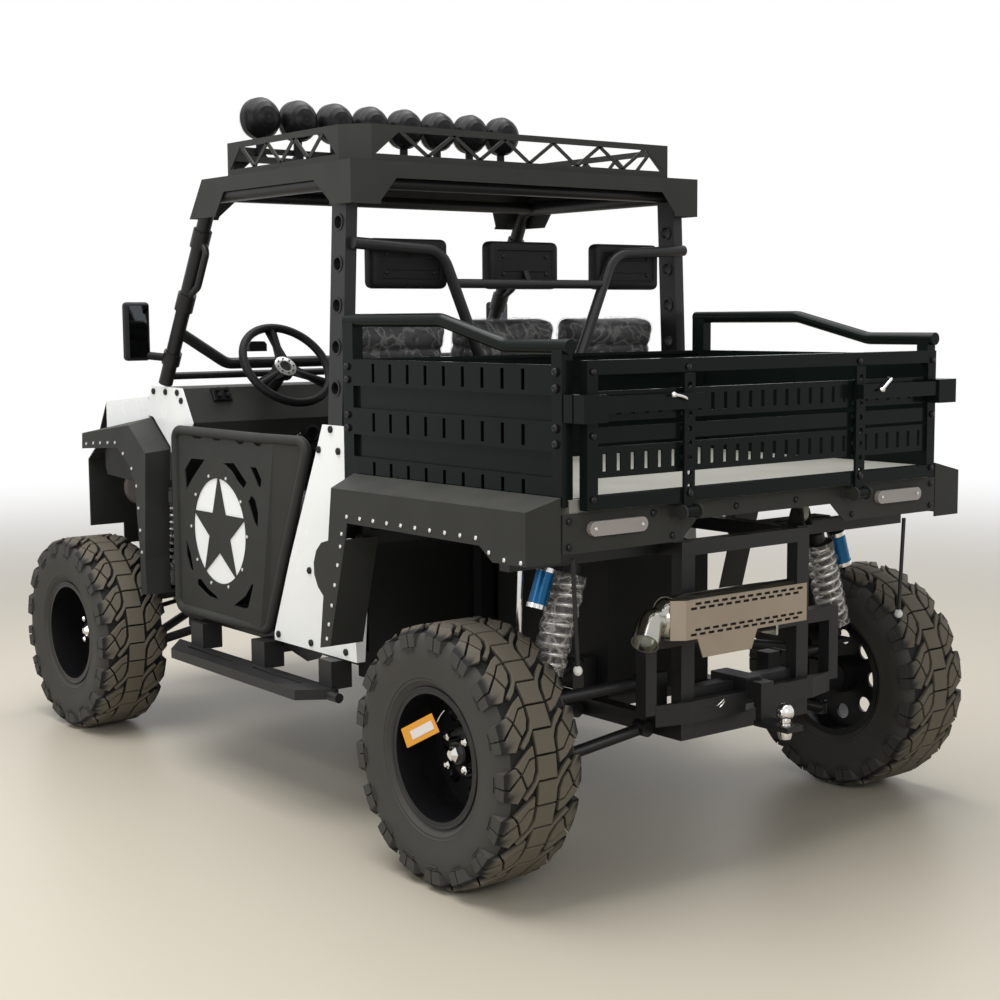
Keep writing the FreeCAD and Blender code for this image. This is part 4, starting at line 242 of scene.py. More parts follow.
def lathe(name: str, profile: Sequence[Flat], steps: int, up: bool = False) -> Piece:
    """A round form about the X axis.

    Args:
        name: The piece's name.
        profile: The (along, radius) points; the last is the first where the profile is closed.
        steps: How many faces go round.
        up: Whether it stands up the Z axis instead.

    Returns:
        The turned piece.
    """
    mesh = bpy.data.meshes.new(name)
    edges = [(i, i + 1) for i in range(len(profile) - 1)]
    mesh.from_pydata([(x, 0.0, radius) for x, radius in profile], edges, [])
    piece = linked(name, mesh)
    with editing(piece, "VERT"):
        bpy.ops.mesh.spin(steps=steps, angle=2 * math.pi, center=(0, 0, 0), axis=(1, 0, 0))
    mend_normals(piece)
    smooth(piece)
    return turned(piece, UPWARD) if up else piece


def tube(name: str, route: Sequence[Place], radius: float, bent: bool = False) -> Piece:
    """A round bar along a route.

    Args:
        name: The piece's name.
        route: The points that lead it.
        radius: The bar's radius.
        bent: Whether it bends softly past its points instead of turning at them.

    Returns:
        The bar as a mesh.
    """
    curve = bpy.data.curves.new(name, "CURVE")
    curve.dimensions = "3D"
    curve.bevel_depth = radius
    curve.bevel_resolution = 4
    curve.use_fill_caps = True
    line = curve.splines.new("NURBS" if bent else "POLY")
    line.points.add(len(route) - 1)
    for point, place in zip(line.points, route):
        point.co = (*place, 1.0)
    if bent:
        line.order_u = 3
        line.use_endpoint_u = True
    select_only(linked(name, curve))
    bpy.ops.object.convert(target="MESH")
    piece = bpy.context.active_object
    smooth(piece)
    return piece


def knob(radius: float, place: Sequence[float], scale: Place, segments: int) -> Piece:
    """A ball at a place, stretched by its scale."""
    bpy.ops.mesh.primitive_uv_sphere_add(segments=segments, ring_count=segments // 2, radius=radius,
                                         location=place)
    ball = added("knob")
    ball.scale = scale
    return ball


def hex_nut(radius: float, length: float) -> Piece:
    """A hexagonal nut along +X with a rounded end."""
    bpy.ops.mesh.primitive_cylinder_add(vertices=6, radius=radius, depth=length)
    nut = added("nut")
    with editing(nut):
        pick_faces(nut, lambda face: face.normal.z > 0.9)
        bpy.ops.mesh.inset(thickness=radius * 0.18, depth=radius * 0.16)
        bpy.ops.mesh.inset(thickness=radius * 0.25, depth=radius * 0.3)
    return turned(nut, UPWARD.inverted() @ Matrix.Translation((0, 0, length / 2)))


def bolt_head(radius: float, rise: float, sides: int) -> Piece:
    """A fastener's head: low and domed, or a hexagon with a flange when it has six sides.

    Args:
        radius: Its radius.
        rise: How far it stands out.
        sides: How many sides it has.

    Returns:
        The head about the origin, Z outwards.
    """
    bpy.ops.mesh.primitive_cylinder_add(vertices=sides, radius=radius, depth=rise * 2)
    head = added("head")
    with editing(head):
        pick_faces(head, lambda face: face.normal.z > 0.9)
        bpy.ops.mesh.inset(thickness=radius * 0.22, depth=rise * 0.35)
        bpy.ops.mesh.inset(thickness=radius * 0.3, depth=rise * 0.2)
        if sides > 6:
            bpy.ops.mesh.inset(thickness=radius * 0.12, depth=-rise * 0.3)
    smooth(head, 40)
    return head


def spread(name: str, template: Piece, places: Sequence[tuple[Vector, Vector]]) -> Piece:
    """Copies a small form to many places and joins the copies.

    Args:
        name: The joined piece's name.
        template: The form, drawn about the origin with Z outwards; it is used up.
        places: Pairs of a point and the way outwards.

    Returns:
        The joined piece.
    """
    copies = []
    for point, way in places:
        copy = linked(name, template.data.copy())
        copy.matrix_world = outward(point, way)
        copies.append(copy)
    bpy.data.objects.remove(template)
    return merge(name, copies)


def on_surface(node: str, start: Place, way: Place) -> tuple[Vector, Vector]:
    """Where a straight line first meets a CAD node.

    Args:
        node: The CAD node's name.
        start: A point outside it.
        way: The line's direction.

    Returns:
        The point on the surface and the way outwards there.
    """
    found, point, normal, _ = NODES[node].ray_cast(Vector(start), Vector(way).normalized())
    if not found:
        LOG.warning("nothing of %s lies along the line from %s", node, start)
        return Vector(start), -Vector(way)
    return point, normal if normal.dot(Vector(way)) < 0 else -normal


def give(piece: Piece, body: str, finish: Finish) -> Piece:
    """Dresses a finished piece and lets it ride on its body.

    Args:
        piece: The mesh object.
        body: The CAD body that carries it.
        finish: What it is made of.

    Returns:
        The piece.
    """
    settle(piece)
    piece.data.materials.clear()
    piece.data.materials.append(finish.material())
    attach(piece, body)
    LOG.info("%s: %d faces on %s", piece.name, len(piece.data.polygons), body)
    return piece


# Effects that the finishes share

# How far from its axle a tyre's tread starts
TREAD_START = 0.334


@dataclass
class Graph:
    """Short ways to add nodes to a shader node tree and to join them."""

    tree: bpy.types.NodeTree

    def feed(self, node: bpy.types.Node, values: dict) -> None:
        """Sets a node's inputs, by name or number, to plain values or to what sockets give."""
        for key, value in values.items():
            if isinstance(value, Socket):
                self.tree.links.new(value, node.inputs[key])
            else:
                node.inputs[key].default_value = value

    def add(self, kind: str, values: dict, **settings: object) -> bpy.types.Node:
        """Adds a node.

        Args:
            kind: Its type, without the word ShaderNode.
            values: What its inputs take, by name or number.
            settings: Its properties by name.

        Returns:
            The node.
        """
        node = self.tree.nodes.new("ShaderNode" + kind)
        for name, value in settings.items():
            setattr(node, name, value)
        self.feed(node, values)
        return node

    def place(self) -> Socket:
        """The object coordinates."""
        return self.add("TexCoord", {}).outputs["Object"]

    def noise(self, scale: float | Socket, detail: float, roughness: float = 0.5) -> bpy.types.Node:
        """Noise over the object coordinates."""
        return self.add("TexNoise", {"Vector": self.place(), "Scale": scale, "Detail": detail,
                                     "Roughness": roughness})

    def maths(self, operation: str, *values: float | Socket) -> Socket:
        """The result of one step of arithmetic."""
        return self.add("Math", dict(enumerate(values)), operation=operation).outputs[0]

    def ramp(self, value: Socket, start: Flat, end: tuple = (0.0, 1.0)) -> Socket:
        """A value moved from one span to another."""
        return self.add("MapRange", {"Value": value, "From Min": start[0], "From Max": start[1],
                                     "To Min": end[0], "To Max": end[1]}).outputs["Result"]

    def mix(self, factor: float | Socket, first: object, second: object) -> Socket:
        """A mix of two colours."""
        return self.add("Mix", {"Factor": factor, 6: first, 7: second}, data_type="RGBA").outputs[2]


def powder(graph: Graph, given: bpy.types.NodeOutputs) -> dict[str, Socket]:
    """The fine skin of powder coat, paint, plastic and rubber: its grain and how its gloss varies."""
    patches = graph.noise(given["Patch Scale"], 5.0, 0.6).outputs["Fac"]
    gloss = graph.ramp(patches, (0.3, 0.7), (given["Gloss Low"], given["Gloss High"]))
    return {"Height": graph.noise(given["Scale"], 2.0).outputs["Fac"], "Roughness": gloss, "Patches": patches}


def dust(graph: Graph, given: bpy.types.NodeOutputs) -> dict[str, Socket]:
    """Pale dust that settles on what faces up, in soft patches."""
    normal = graph.add("NewGeometry", {}).outputs["Normal"]
    upward = graph.add("SeparateXYZ", {"Vector": normal}).outputs["Z"]
    patches = graph.noise(9.0, 6.0).outputs["Fac"]
    spots = graph.maths("MULTIPLY", graph.maths("MAXIMUM", upward, given["Everywhere"]), patches)
    amount = graph.add("Math", {0: spots, 1: given["Amount"]}, operation="MULTIPLY", use_clamp=True)
    return {"Colour": graph.mix(amount.outputs[0], given["Colour"], given["Dust"])}


def crumple(graph: Graph, given: bpy.types.NodeOutputs) -> dict[str, Socket]:
    """The creases of thin packing film: sharp folds that run every way, and a mask of the folds' edges, where
    the film's highlights are painted.
    """
    warp = graph.noise(5.0, 3.0).outputs["Color"]
    push = graph.add("VectorMath", {0: warp, "Scale": given["Stretch"]}, operation="SCALE").outputs[0]
    moved = graph.add("VectorMath", {0: graph.place(), 1: push}, operation="ADD").outputs[0]
    folds = graph.add("TexVoronoi", {}, feature="DISTANCE_TO_EDGE")
    graph.feed(folds, {"Vector": moved, "Scale": given["Scale"]})
    away = folds.outputs["Distance"]
    return {"Height": away, "Creases": graph.ramp(away, (0.0, 0.09), (1.0, 0.0))}


def axle(graph: Graph, given: bpy.types.NodeOutputs) -> dict[str, Socket]:
    """Masks by the distance from a wheel's axle: the tops of the tread's lugs, and the grooves, which are
    given painted shade.
    """
    part = graph.add("SeparateXYZ", {"Vector": graph.place()}).outputs
    along = graph.maths("SUBTRACT", graph.maths("ABSOLUTE", part["Y"]), given["Axle Y"])
    upward = graph.maths("SUBTRACT", part["Z"], given["Axle Z"])
    squares = [graph.maths("MULTIPLY", leg, leg) for leg in (along, upward)]
    away = graph.maths("SQRT", graph.maths("ADD", *squares))
    tread = graph.maths("GREATER_THAN", away, TREAD_START)
    spans = {"Top": (0.336, 0.3545), "Groove": (0.3475, 0.3405)}
    return {label: graph.maths("MULTIPLY", graph.ramp(away, span), tread) for label, span in spans.items()}


@dataclass
class Effect:
    """A shader node group that any material can use.

    Attributes:
        name: The group's name.
        inputs: Its inputs with their first values.
        build: Adds its nodes and returns the sockets of its outputs.
    """

    name: str
    inputs: dict[str, object]
    build: Callable[[Graph, bpy.types.NodeOutputs], dict[str, Socket]]

    @staticmethod
    def kind(colour: bool) -> str:
        """The type of a group's socket, for a colour or a number."""
        return "NodeSocketColor" if colour else "NodeSocketFloat"

    def group(self) -> bpy.types.NodeTree:
        """The group, made once."""
        if self.name in bpy.data.node_groups:
            return bpy.data.node_groups[self.name]
        tree = bpy.data.node_groups.new(self.name, "ShaderNodeTree")
        for label, value in self.inputs.items():
            kind = self.kind(isinstance(value, tuple))
            tree.interface.new_socket(name=label, in_out="INPUT", socket_type=kind).default_value = value
        graph = Graph(tree)
        results = self.build(graph, tree.nodes.new("NodeGroupInput").outputs)
        for label, socket in results.items():
            kind = self.kind(socket.type == "RGBA")
            tree.interface.new_socket(name=label, in_out="OUTPUT", socket_type=kind)
        graph.feed(tree.nodes.new("NodeGroupOutput"), results)
        return tree

    def placed(self, graph: Graph, values: dict) -> bpy.types.NodeOutputs:
        """The outputs of the group placed in a material with these values."""
        return graph.add("Group", values, node_tree=self.group()).outputs


POWDER = Effect("powder skin", {"Scale": 700.0, "Gloss Low": 0.4, "Gloss High": 0.5, "Patch Scale": 4.0},
                powder)
DUST = Effect("settled dust", {"Colour": (0.02, 0.02, 0.02, 1), "Dust": (0.3, 0.28, 0.25, 1), "Amount": 0.1,
                               "Everywhere": 0.3}, dust)
CRUMPLE = Effect("crumpled film", {"Scale": 14.0, "Stretch": 0.5}, crumple)
AXLE = Effect("axle distance", {"Axle Y": 1.158, "Axle Z": 0.3556}, axle)


# Finishes

LUG_DUST = (0.12, 0.104, 0.08, 1)
# Painted shade for the deep grooves between the tread's lugs
GROOVE_PAINTED_SHADE = (0.009, 0.009, 0.009, 1)


class Skin(Enum):
    """What lies over a finish's plain colour."""

    SOLID = "solid"
    FILM = "film"
    BRUSHED = "brushed"
    LENS = "lens"
    TREAD = "tread"


@dataclass(frozen=True)
class Finish:
    """A finish of the vehicle: its colour, gloss and skin.

    Attributes:
        name: The material's name.
        colour: Its base colour.
        gloss: The lowest and highest roughness.
        metal: How metallic it is.
        coat: The weight of its clear coat.
        grain: The scale of its fine grain.
        depth: How deep the grain is, in metres.
        dust: How much dust lies on it.
        skin: What lies over the plain colour.
        patch: How much its colour varies in soft patches.
        shine: The constant level of its reflection.
        painted_sheen: How opaque a film's pale colour is between its creases and on them: a painted sheen,
            with painted highlights on the creases.
    """

    name: str
    colour: Colour
    gloss: Flat = (0.4, 0.5)
    metal: float = 0.0
    coat: float = 0.0
    grain: float = 700.0
    depth: float = 0.0002
    dust: float = 0.0
    skin: Skin = Skin.SOLID
    patch: float = 0.15
    shine: float = 0.3
    painted_sheen: Flat = (0.07, 0.5)

    def material(self) -> bpy.types.Material:
        """The finish's material, made once."""
        if self.name in bpy.data.materials:
            return bpy.data.materials[self.name]
        material = bpy.data.materials.new(self.name)
        material.use_nodes = True
        graph = Graph(material.node_tree)
        skin = POWDER.placed(graph, {"Scale": self.grain, "Gloss Low": self.gloss[0],
                                     "Gloss High": self.gloss[1]})
        low, high = [(*(min(1.0, part * change) for part in self.colour), 1)
                     for change in (1 - self.patch, 1 + self.patch)]
        colour = graph.mix(skin["Patches"], low, high)
        if self.dust:
            colour = DUST.placed(graph, {"Amount": self.dust, "Colour": colour})["Colour"]
        if self.skin is Skin.TREAD:
            # Dust on the lugs' tops, and painted shade in the grooves
            colour = self.dust_and_painted_groove_shade(graph, colour)
        bump = graph.add("Bump", {"Strength": 0.6, "Distance": self.depth, "Height": skin["Height"]})
        shader = material.node_tree.nodes["Principled BSDF"]
        graph.feed(shader, {
            "Metallic": self.metal, "Coat Weight": self.coat, "Coat Roughness": 0.06,
            "Specular IOR Level": self.shine, "Roughness": skin["Roughness"], "Base Color": colour,
            "Normal": bump.outputs["Normal"]})
        if self.skin is Skin.FILM:
            folds = CRUMPLE.placed(graph, {})
            graph.feed(bump, {"Strength": 1.0, "Distance": 0.012, "Height": folds["Height"]})
            # The film's pale colour shows most on its creases: a painted sheen, with painted highlights on
            # the folds
            graph.feed(shader, {"Alpha": graph.ramp(folds["Creases"], (0.0, 1.0), self.painted_sheen)})
        elif self.skin is Skin.BRUSHED:
            streaks = graph.add("Mapping", {"Vector": graph.place(), "Scale": (6.0, 500.0, 500.0)})
            brushed = graph.add("TexNoise", {"Vector": streaks.outputs["Vector"], "Scale": 2.0})
            graph.feed(bump, {"Height": brushed.outputs["Fac"]})
        elif self.skin is Skin.LENS:
            flutes = graph.add("TexWave", {"Vector": graph.place(), "Scale": 60.0}, bands_direction="X")
            graph.feed(bump, {"Height": flutes.outputs["Fac"], "Distance": 0.002})
        return material

    @staticmethod
    def dust_and_painted_groove_shade(graph: Graph, colour: Socket) -> Socket:
        """The tyre's colour, dusty on the tops of its lugs and darkened in its grooves by painted shade."""
        masks = AXLE.placed(graph, {})
        return graph.mix(masks["Groove"], graph.mix(masks["Top"], colour, LUG_DUST), GROOVE_PAINTED_SHADE)


FRAME_BLACK = Finish("frame satin black", (0.011, 0.011, 0.012), (0.36, 0.5), grain=500, depth=0.0003,
                     dust=0.04)
CAGE_BLACK = Finish("cage satin black", (0.01, 0.01, 0.011), (0.34, 0.46), grain=450, depth=0.0003, dust=0.03)
PANEL_BLACK = Finish("panel textured black", (0.024, 0.025, 0.023), (0.5, 0.62), grain=900, depth=0.0006,
                     dust=0.14, shine=0.16)
BED_BLACK = Finish("bed gloss black", (0.004, 0.007, 0.006), (0.12, 0.24), grain=120, depth=0.0003, dust=0.03,
                   shine=0.08)
BED_GREY = Finish("bed floor grey", (0.25, 0.245, 0.215), (0.5, 0.7), grain=300, depth=0.0004, patch=0.25)
PANEL_WHITE = Finish("panel gloss white", (0.89, 0.91, 0.91), (0.2, 0.3), coat=0.2, grain=160, depth=0.0001,
                     patch=0.03)
RUBBER = Finish("tyre rubber", (0.042, 0.041, 0.037), (0.6, 0.8), grain=350, depth=0.0008, dust=0.15,
                patch=0.3, skin=Skin.TREAD, shine=0.25)
RIM_BLACK = Finish("rim satin black", (0.007, 0.007, 0.008), (0.25, 0.36), grain=500)
VINYL = Finish("seat vinyl", (0.018, 0.018, 0.019), (0.35, 0.5), grain=420, depth=0.0008)
MOULDED = Finish("moulded black", (0.008, 0.008, 0.009), (0.42, 0.56), grain=600, depth=0.0006, dust=0.03,
                 shine=0.14)
LAMP_BLACK = Finish("lamp bowl black", (0.006, 0.006, 0.007), (0.26, 0.34), grain=60, depth=0.0001,
                    shine=0.14)
LENS = Finish("lamp lens", (0.3, 0.27, 0.25), (0.1, 0.2), coat=0.6, skin=Skin.LENS)
POLISHED = Finish("polished steel", (0.72, 0.71, 0.69), (0.08, 0.18), metal=1.0, grain=90, depth=0.0001,
                  patch=0.08)
STAINED = Finish("heat-stained steel", (0.4, 0.4, 0.36), (0.12, 0.22), metal=1.0, grain=90, depth=0.0001,
                 patch=0.2)
MIRROR = Finish("mirror glass", (0.07, 0.075, 0.08), (0.02, 0.05), metal=1.0, grain=60, depth=0.00005)
SHIELD = Finish("shield satin steel", (0.33, 0.275, 0.215), (0.3, 0.42), metal=0.85, skin=Skin.BRUSHED)
SILVER = Finish("spring silver", (0.55, 0.54, 0.52), (0.22, 0.36), metal=0.7, grain=200, depth=0.0004)
ENGINE = Finish("engine black", (0.012, 0.012, 0.012), (0.5, 0.65), grain=250, depth=0.001, shine=0.15)
BLUE = Finish("reservoir blue", (0.008, 0.1, 0.24), (0.2, 0.3), metal=0.5, grain=200, depth=0.0001)
BOLT_BLACK = Finish("bolt black", (0.01, 0.01, 0.01), (0.24, 0.36), metal=0.3, grain=300)
RIVET = Finish("rivet silver", (0.6, 0.6, 0.6), (0.2, 0.32), metal=0.9, grain=300)
WHITE_PLASTIC = Finish("link white plastic", (0.7, 0.7, 0.68), (0.3, 0.4))
TAG_ORANGE = Finish("tag orange card", (0.75, 0.33, 0.03), (0.35, 0.5), grain=500)
TAG_WHITE = Finish("tag white label", (0.75, 0.7, 0.68), grain=600)
# The films' pale colour, strongest on their creases, is a painted sheen with painted crease highlights
SEAT_FILM = Finish("seat film", (0.5, 0.5, 0.49), (0.06, 0.16), skin=Skin.FILM, patch=0.02, painted_sheen=(0.08, 0.34),
                   shine=0.5)
SPRING_FILM = Finish("spring film", (0.8, 0.77, 0.72), (0.05, 0.12), skin=Skin.FILM, patch=0.02,
                     painted_sheen=(0.1, 0.45), shine=0.5)

SLOTS = {
    "frame_black": FRAME_BLACK, "cage_black": CAGE_BLACK, "panel_black": PANEL_BLACK, "bed_black": BED_BLACK,
    "bed_grey": BED_GREY, "panel_white": PANEL_WHITE, "tyre_rubber": RUBBER, "rim_black": RIM_BLACK,
    "seat_cover": VINYL, "moulded_black": MOULDED, "lamp_black": LAMP_BLACK, "lamp_glass": LENS,
    "polished_steel": POLISHED, "shield_steel": SHIELD, "engine_black": ENGINE, "spring_silver": SILVER,
}


@dataclass
class Bodywork:
    """The CAD nodes that show as they are, each in its slot's finish or in one of its own."""

    record: dict
    special: dict[str, Finish] = field(
        default_factory=lambda: {"ball_mount": FRAME_BLACK, "muffler": STAINED})

    def dress(self) -> None:
        """Gives every CAD node its finish."""
        for row in self.record["subparts"]:
            finish = self.special.get(row["node"], SLOTS[row["material_slot"]])
            node = NODES[row["node"]]
            node.data.materials.clear()
            node.data.materials.append(finish.material())
            LOG.info("%s in %s", row["node"], finish.name)


# Wheels


@dataclass
class Tread:
    """The tyre's tread: what lies on one pitch, in (across, along) metres from the middle line."""

    pitches: int = 17
    radius: float = 0.3556
    root: float = 0.3375
    shoulder_start: float = 0.106
    shoulder_slope: float = 0.95
    foot_start: float = 0.1
    foot_slope: float = 1.35
    bevel: float = 0.0016
    lugs: tuple[tuple[Flat, ...], ...] = (
        ((0.041, -0.060), (0.040, -0.033), (0.058, -0.029), (0.084, 0.003), (0.099, -0.014), (0.062, -0.048)),
        ((0.040, -0.028), (0.056, -0.024), (0.082, 0.008), (0.067, 0.042), (0.052, 0.028), (0.042, 0.002)),
        ((0.102, -0.010), (0.089, 0.007), (0.118, 0.042), (0.128, 0.042), (0.128, 0.002)),
        ((0.087, 0.013), (0.115, 0.047), (0.128, 0.047), (0.128, 0.078), (0.096, 0.080), (0.072, 0.047)),
        ((-0.030, -0.030), (0.030, -0.030), (0.031, 0.008), (0.042, 0.031), (0.057, 0.047), (0.078, 0.068),
         (0.070, 0.077), (0.050, 0.058), (0.030, 0.030), (-0.030, 0.030)),
    )
    ribs: tuple[Flat, ...] = ((0.288, 0.2905), (0.295, 0.2975))
    rib_middle: float = 0.04
    rib_half: float = 0.024
    rib_span: Flat = (0.1175, 0.1273)

    @property
    def pitch(self) -> float:
        """The length of one pitch along the tread."""
        return 2 * math.pi * self.radius / self.pitches

    def top(self, across: float) -> float:
        """The tread's radius at a distance from the middle line."""
        return self.radius - max(0.0, abs(across) - self.shoulder_start) * self.shoulder_slope

    def low(self, across: float) -> float:
        """The radius of the lugs' foot at a distance from the middle line."""
        return self.root - max(0.0, abs(across) - self.foot_start) * self.foot_slope

    def block(self, outline: Sequence[Flat], mirrored: bool) -> Piece:
        """One lug, upright over the flat tread.

        Args:
            outline: Its corners.
            mirrored: Whether it lies on the other side, half a pitch on.

        Returns:
            The lug, whose z is its radius.
        """
        if mirrored:
            outline = [(-x, -y + self.pitch / 2) for x, y in outline]
        lug = plate("lug", outline, 1.0)
        for vertex in lug.data.vertices:
            vertex.co.z = self.top(vertex.co.x) if vertex.co.z > 0.5 else self.low(vertex.co.x)
        with editing(lug):
            pick_faces(lug, lambda face: abs(face.normal.z) > 0.5 and face.calc_center_median().z > self.root)
            bpy.ops.mesh.bevel(offset=self.bevel, segments=1)
        return lug

    def rib(self, low: float, high: float, side: int) -> Piece:
        """One short raised line on a sidewall, beside the shoulder's lug."""
        middle = self.rib_middle if side > 0 else self.pitch / 2 - self.rib_middle
        start, end = self.rib_span
        line = rectangle("rib", (end - start) / 2, self.rib_half, high - low)
        for vertex in line.data.vertices:
            x, y, z = vertex.co
            vertex.co = (side * ((start + end) / 2 + x), y + middle, z + low)
        return line

    def strip(self) -> Piece:
        """The whole tread laid out flat, its z the radius."""
        forms = [self.block(outline, mirrored) for outline in self.lugs for mirrored in (False, True)]
        forms += [self.rib(low, high, side) for low, high in self.ribs for side in (1, -1)]
        strip = merge("tread", forms)
        modify(strip, "ARRAY", count=self.pitches, use_relative_offset=False, use_constant_offset=True,
               constant_offset_displace=(0.0, self.pitch, 0.0))
        return strip


@dataclass
class Wheel:
    """A wheel's dress: its tyre with the whole tread, its rim's lip, its boss, cap and nuts."""

    place: str
    centre: Place
    tread: Tread
    nut_face: float = 0.0
    nut_circle: float = 0.055
    nut_size: Flat = (0.0125, 0.03)
    nuts: int = 4
    cap_face: float = 0.026
    cap_size: Flat = (0.0235, 0.012)
    carcass: tuple[Flat, ...] = (
        (0.0, 0.3400), (0.060, 0.3395), (0.096, 0.3375), (0.110, 0.3300), (0.1195, 0.3150), (0.1240, 0.2950),
        (0.1225, 0.2700), (0.1190, 0.2420), (0.1150, 0.2240), (0.1150, 0.2170), (0.1125, 0.2150),
        (0.1125, 0.2080), (0.1085, 0.2040), (0.1015, 0.1975), (0.0995, 0.1915), (0.0975, 0.1780),
    )
    boss: tuple[Flat, ...] = (
        (-0.034, 0.0001), (-0.034, 0.076), (-0.005, 0.073), (0.001, 0.067), (0.001, 0.037), (0.022, 0.035),
        (0.027, 0.031), (0.027, 0.0001),
    )
    lip: tuple[Flat, ...] = (
        (0.096, 0.1905), (0.1015, 0.1925), (0.1045, 0.1905), (0.1045, 0.1855), (0.1, 0.1795), (0.088, 0.1745),
        (0.05, 0.172), (0.03, 0.1712), (0.03, 0.1722), (0.096, 0.1905),
    )

    def fit(self, piece: Piece, finish: Finish) -> Piece:
        """Gives the wheel a piece that is drawn about the origin, outer side to +X."""
        if self.place.endswith("r"):
            piece.data.transform(Matrix.Rotation(math.pi, 4, "Z"))
        piece.data.transform(Matrix.Translation(self.centre))
        return give(piece, "wheel_" + self.place, finish)

    def tyre(self) -> None:
        """The tyre: a carcass turned from its section, with the tread wrapped round it."""
        section = list(self.carcass) + [(-x, radius) for x, radius in reversed(self.carcass[1:])]
        section.append(section[0])
        carcass = lathe("carcass", section, 102)
        strip = self.tread.strip()
        for vertex in strip.data.vertices:
            across, along, radius = vertex.co
            turn = along / self.tread.radius
            vertex.co = (across, radius * math.sin(turn), radius * math.cos(turn))
        mend_normals(strip)
        smooth(strip, 20)
        tyre = self.fit(merge("tyre_dress_" + self.place, [carcass, strip]), RUBBER)
        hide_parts("tyre_" + self.place)

    def trim(self) -> None:
        """The bright parts in the middle: a hexagonal cap and coned nuts."""
        bright = []
        for step in range(self.nuts):
            turn = 2 * math.pi * (step + 0.5) / self.nuts
            nut = hex_nut(*self.nut_size)
            nut.location = (self.nut_face, self.nut_circle * math.sin(turn), self.nut_circle * math.cos(turn))
            bright.append(nut)
        cap = hex_nut(*self.cap_size)
        cap.location = (self.cap_face, 0, 0)
        self.fit(merge("wheel_trim_" + self.place, bright + [cap]), POLISHED)

    def dress(self) -> None:
        """Builds all of the wheel's pieces."""
        self.tyre()
        self.trim()
        self.fit(lathe("wheel_boss_" + self.place, self.boss, 48), RIM_BLACK)
        self.fit(lathe("wheel_lip_" + self.place, self.lip, 96), RIM_BLACK)


@dataclass
class WheelTag:
    """The blank card tag that hangs from the left rear wheel's rim on a thin tie."""

    plane: float = 0.889
    thick: float = 0.0012
    card: tuple[Flat, ...] = ((1.002, 0.403), (1.145, 0.474), (1.18, 0.43), (1.031, 0.356))
    label: tuple[Flat, ...] = ((1.045, 0.405), (1.143, 0.454), (1.157, 0.434), (1.06, 0.385))
    tie: tuple[Place, ...] = ((0.8895, 1.17, 0.455), (0.8895, 1.181, 0.474), (0.8895, 1.202, 0.491))

    def dress(self) -> None:
        """Builds the card, its label and its tie."""
        for name, outline, lift, finish in (("wheel_tag", self.card, 0.0, TAG_ORANGE),
                                            ("wheel_tag_label", self.label, self.thick, TAG_WHITE)):
            onto = Matrix.Translation((self.plane + lift, 0, 0)) @ FLAT_TO_SIDE
            give(turned(plate(name, outline, self.thick), onto), "wheel_rl", finish)
        give(tube("wheel_tag_tie", self.tie, 0.0012, bent=True), "wheel_rl", TAG_WHITE)


# Roof rack


@dataclass
class RackStruts:
    """The zigzag of flat struts between the rack's upper and lower rails."""

    low: float = 2.004
    high: float = 2.073
    width: float = 0.02
    sheet: float = 0.004
    half: float = 0.672
    rear: float = 0.478
    front: float = -0.352
    side_span: Flat = (-0.266, 0.392)
    end_span: Flat = (-0.598, 0.598)
    side_windows: int = 7
    end_windows: int = 11

    def zigzag(self, span: Flat, windows: int, onto: Matrix) -> list[Piece]:
        """The struts of one wall.

        Args:
            span: Where the wall's windows start and end.
            windows: How many there are.
            onto: Moves the wall from its own plane, (along, height), to its place.

        Returns:
            The struts, one sheet thick.
        """
        pitch = (span[1] - span[0]) / (windows + 1)
        wide = self.width / 2
        struts = []
        for step in range(1, windows):
            start, end = (self.high, self.low) if step % 2 else (self.low, self.high)
            first = span[0] + step * pitch
            second = first + pitch
            outline = [(first - wide, start), (first + wide, start), (second + wide, end),
                       (second - wide, end)]
            struts.append(turned(plate("strut", outline, self.sheet), onto))
        return struts

    def dress(self) -> None:
        """Builds the struts of all four walls."""
        struts = []
        for x in (self.half - self.sheet, -self.half):
            onto = Matrix.Translation((x, 0, 0)) @ FLAT_TO_SIDE
            struts += self.zigzag(self.side_span, self.side_windows, onto)
        for y in (self.rear - self.sheet, self.front):
            onto = Matrix.Translation((0, y, 0)) @ FLAT_MIRRORED_TO_REAR
            struts += self.zigzag(self.end_span, self.end_windows, onto)
        walls = merge("rack_struts", struts)
        mend_normals(walls)
        give(walls, "chassis", PANEL_BLACK)


# Suspension


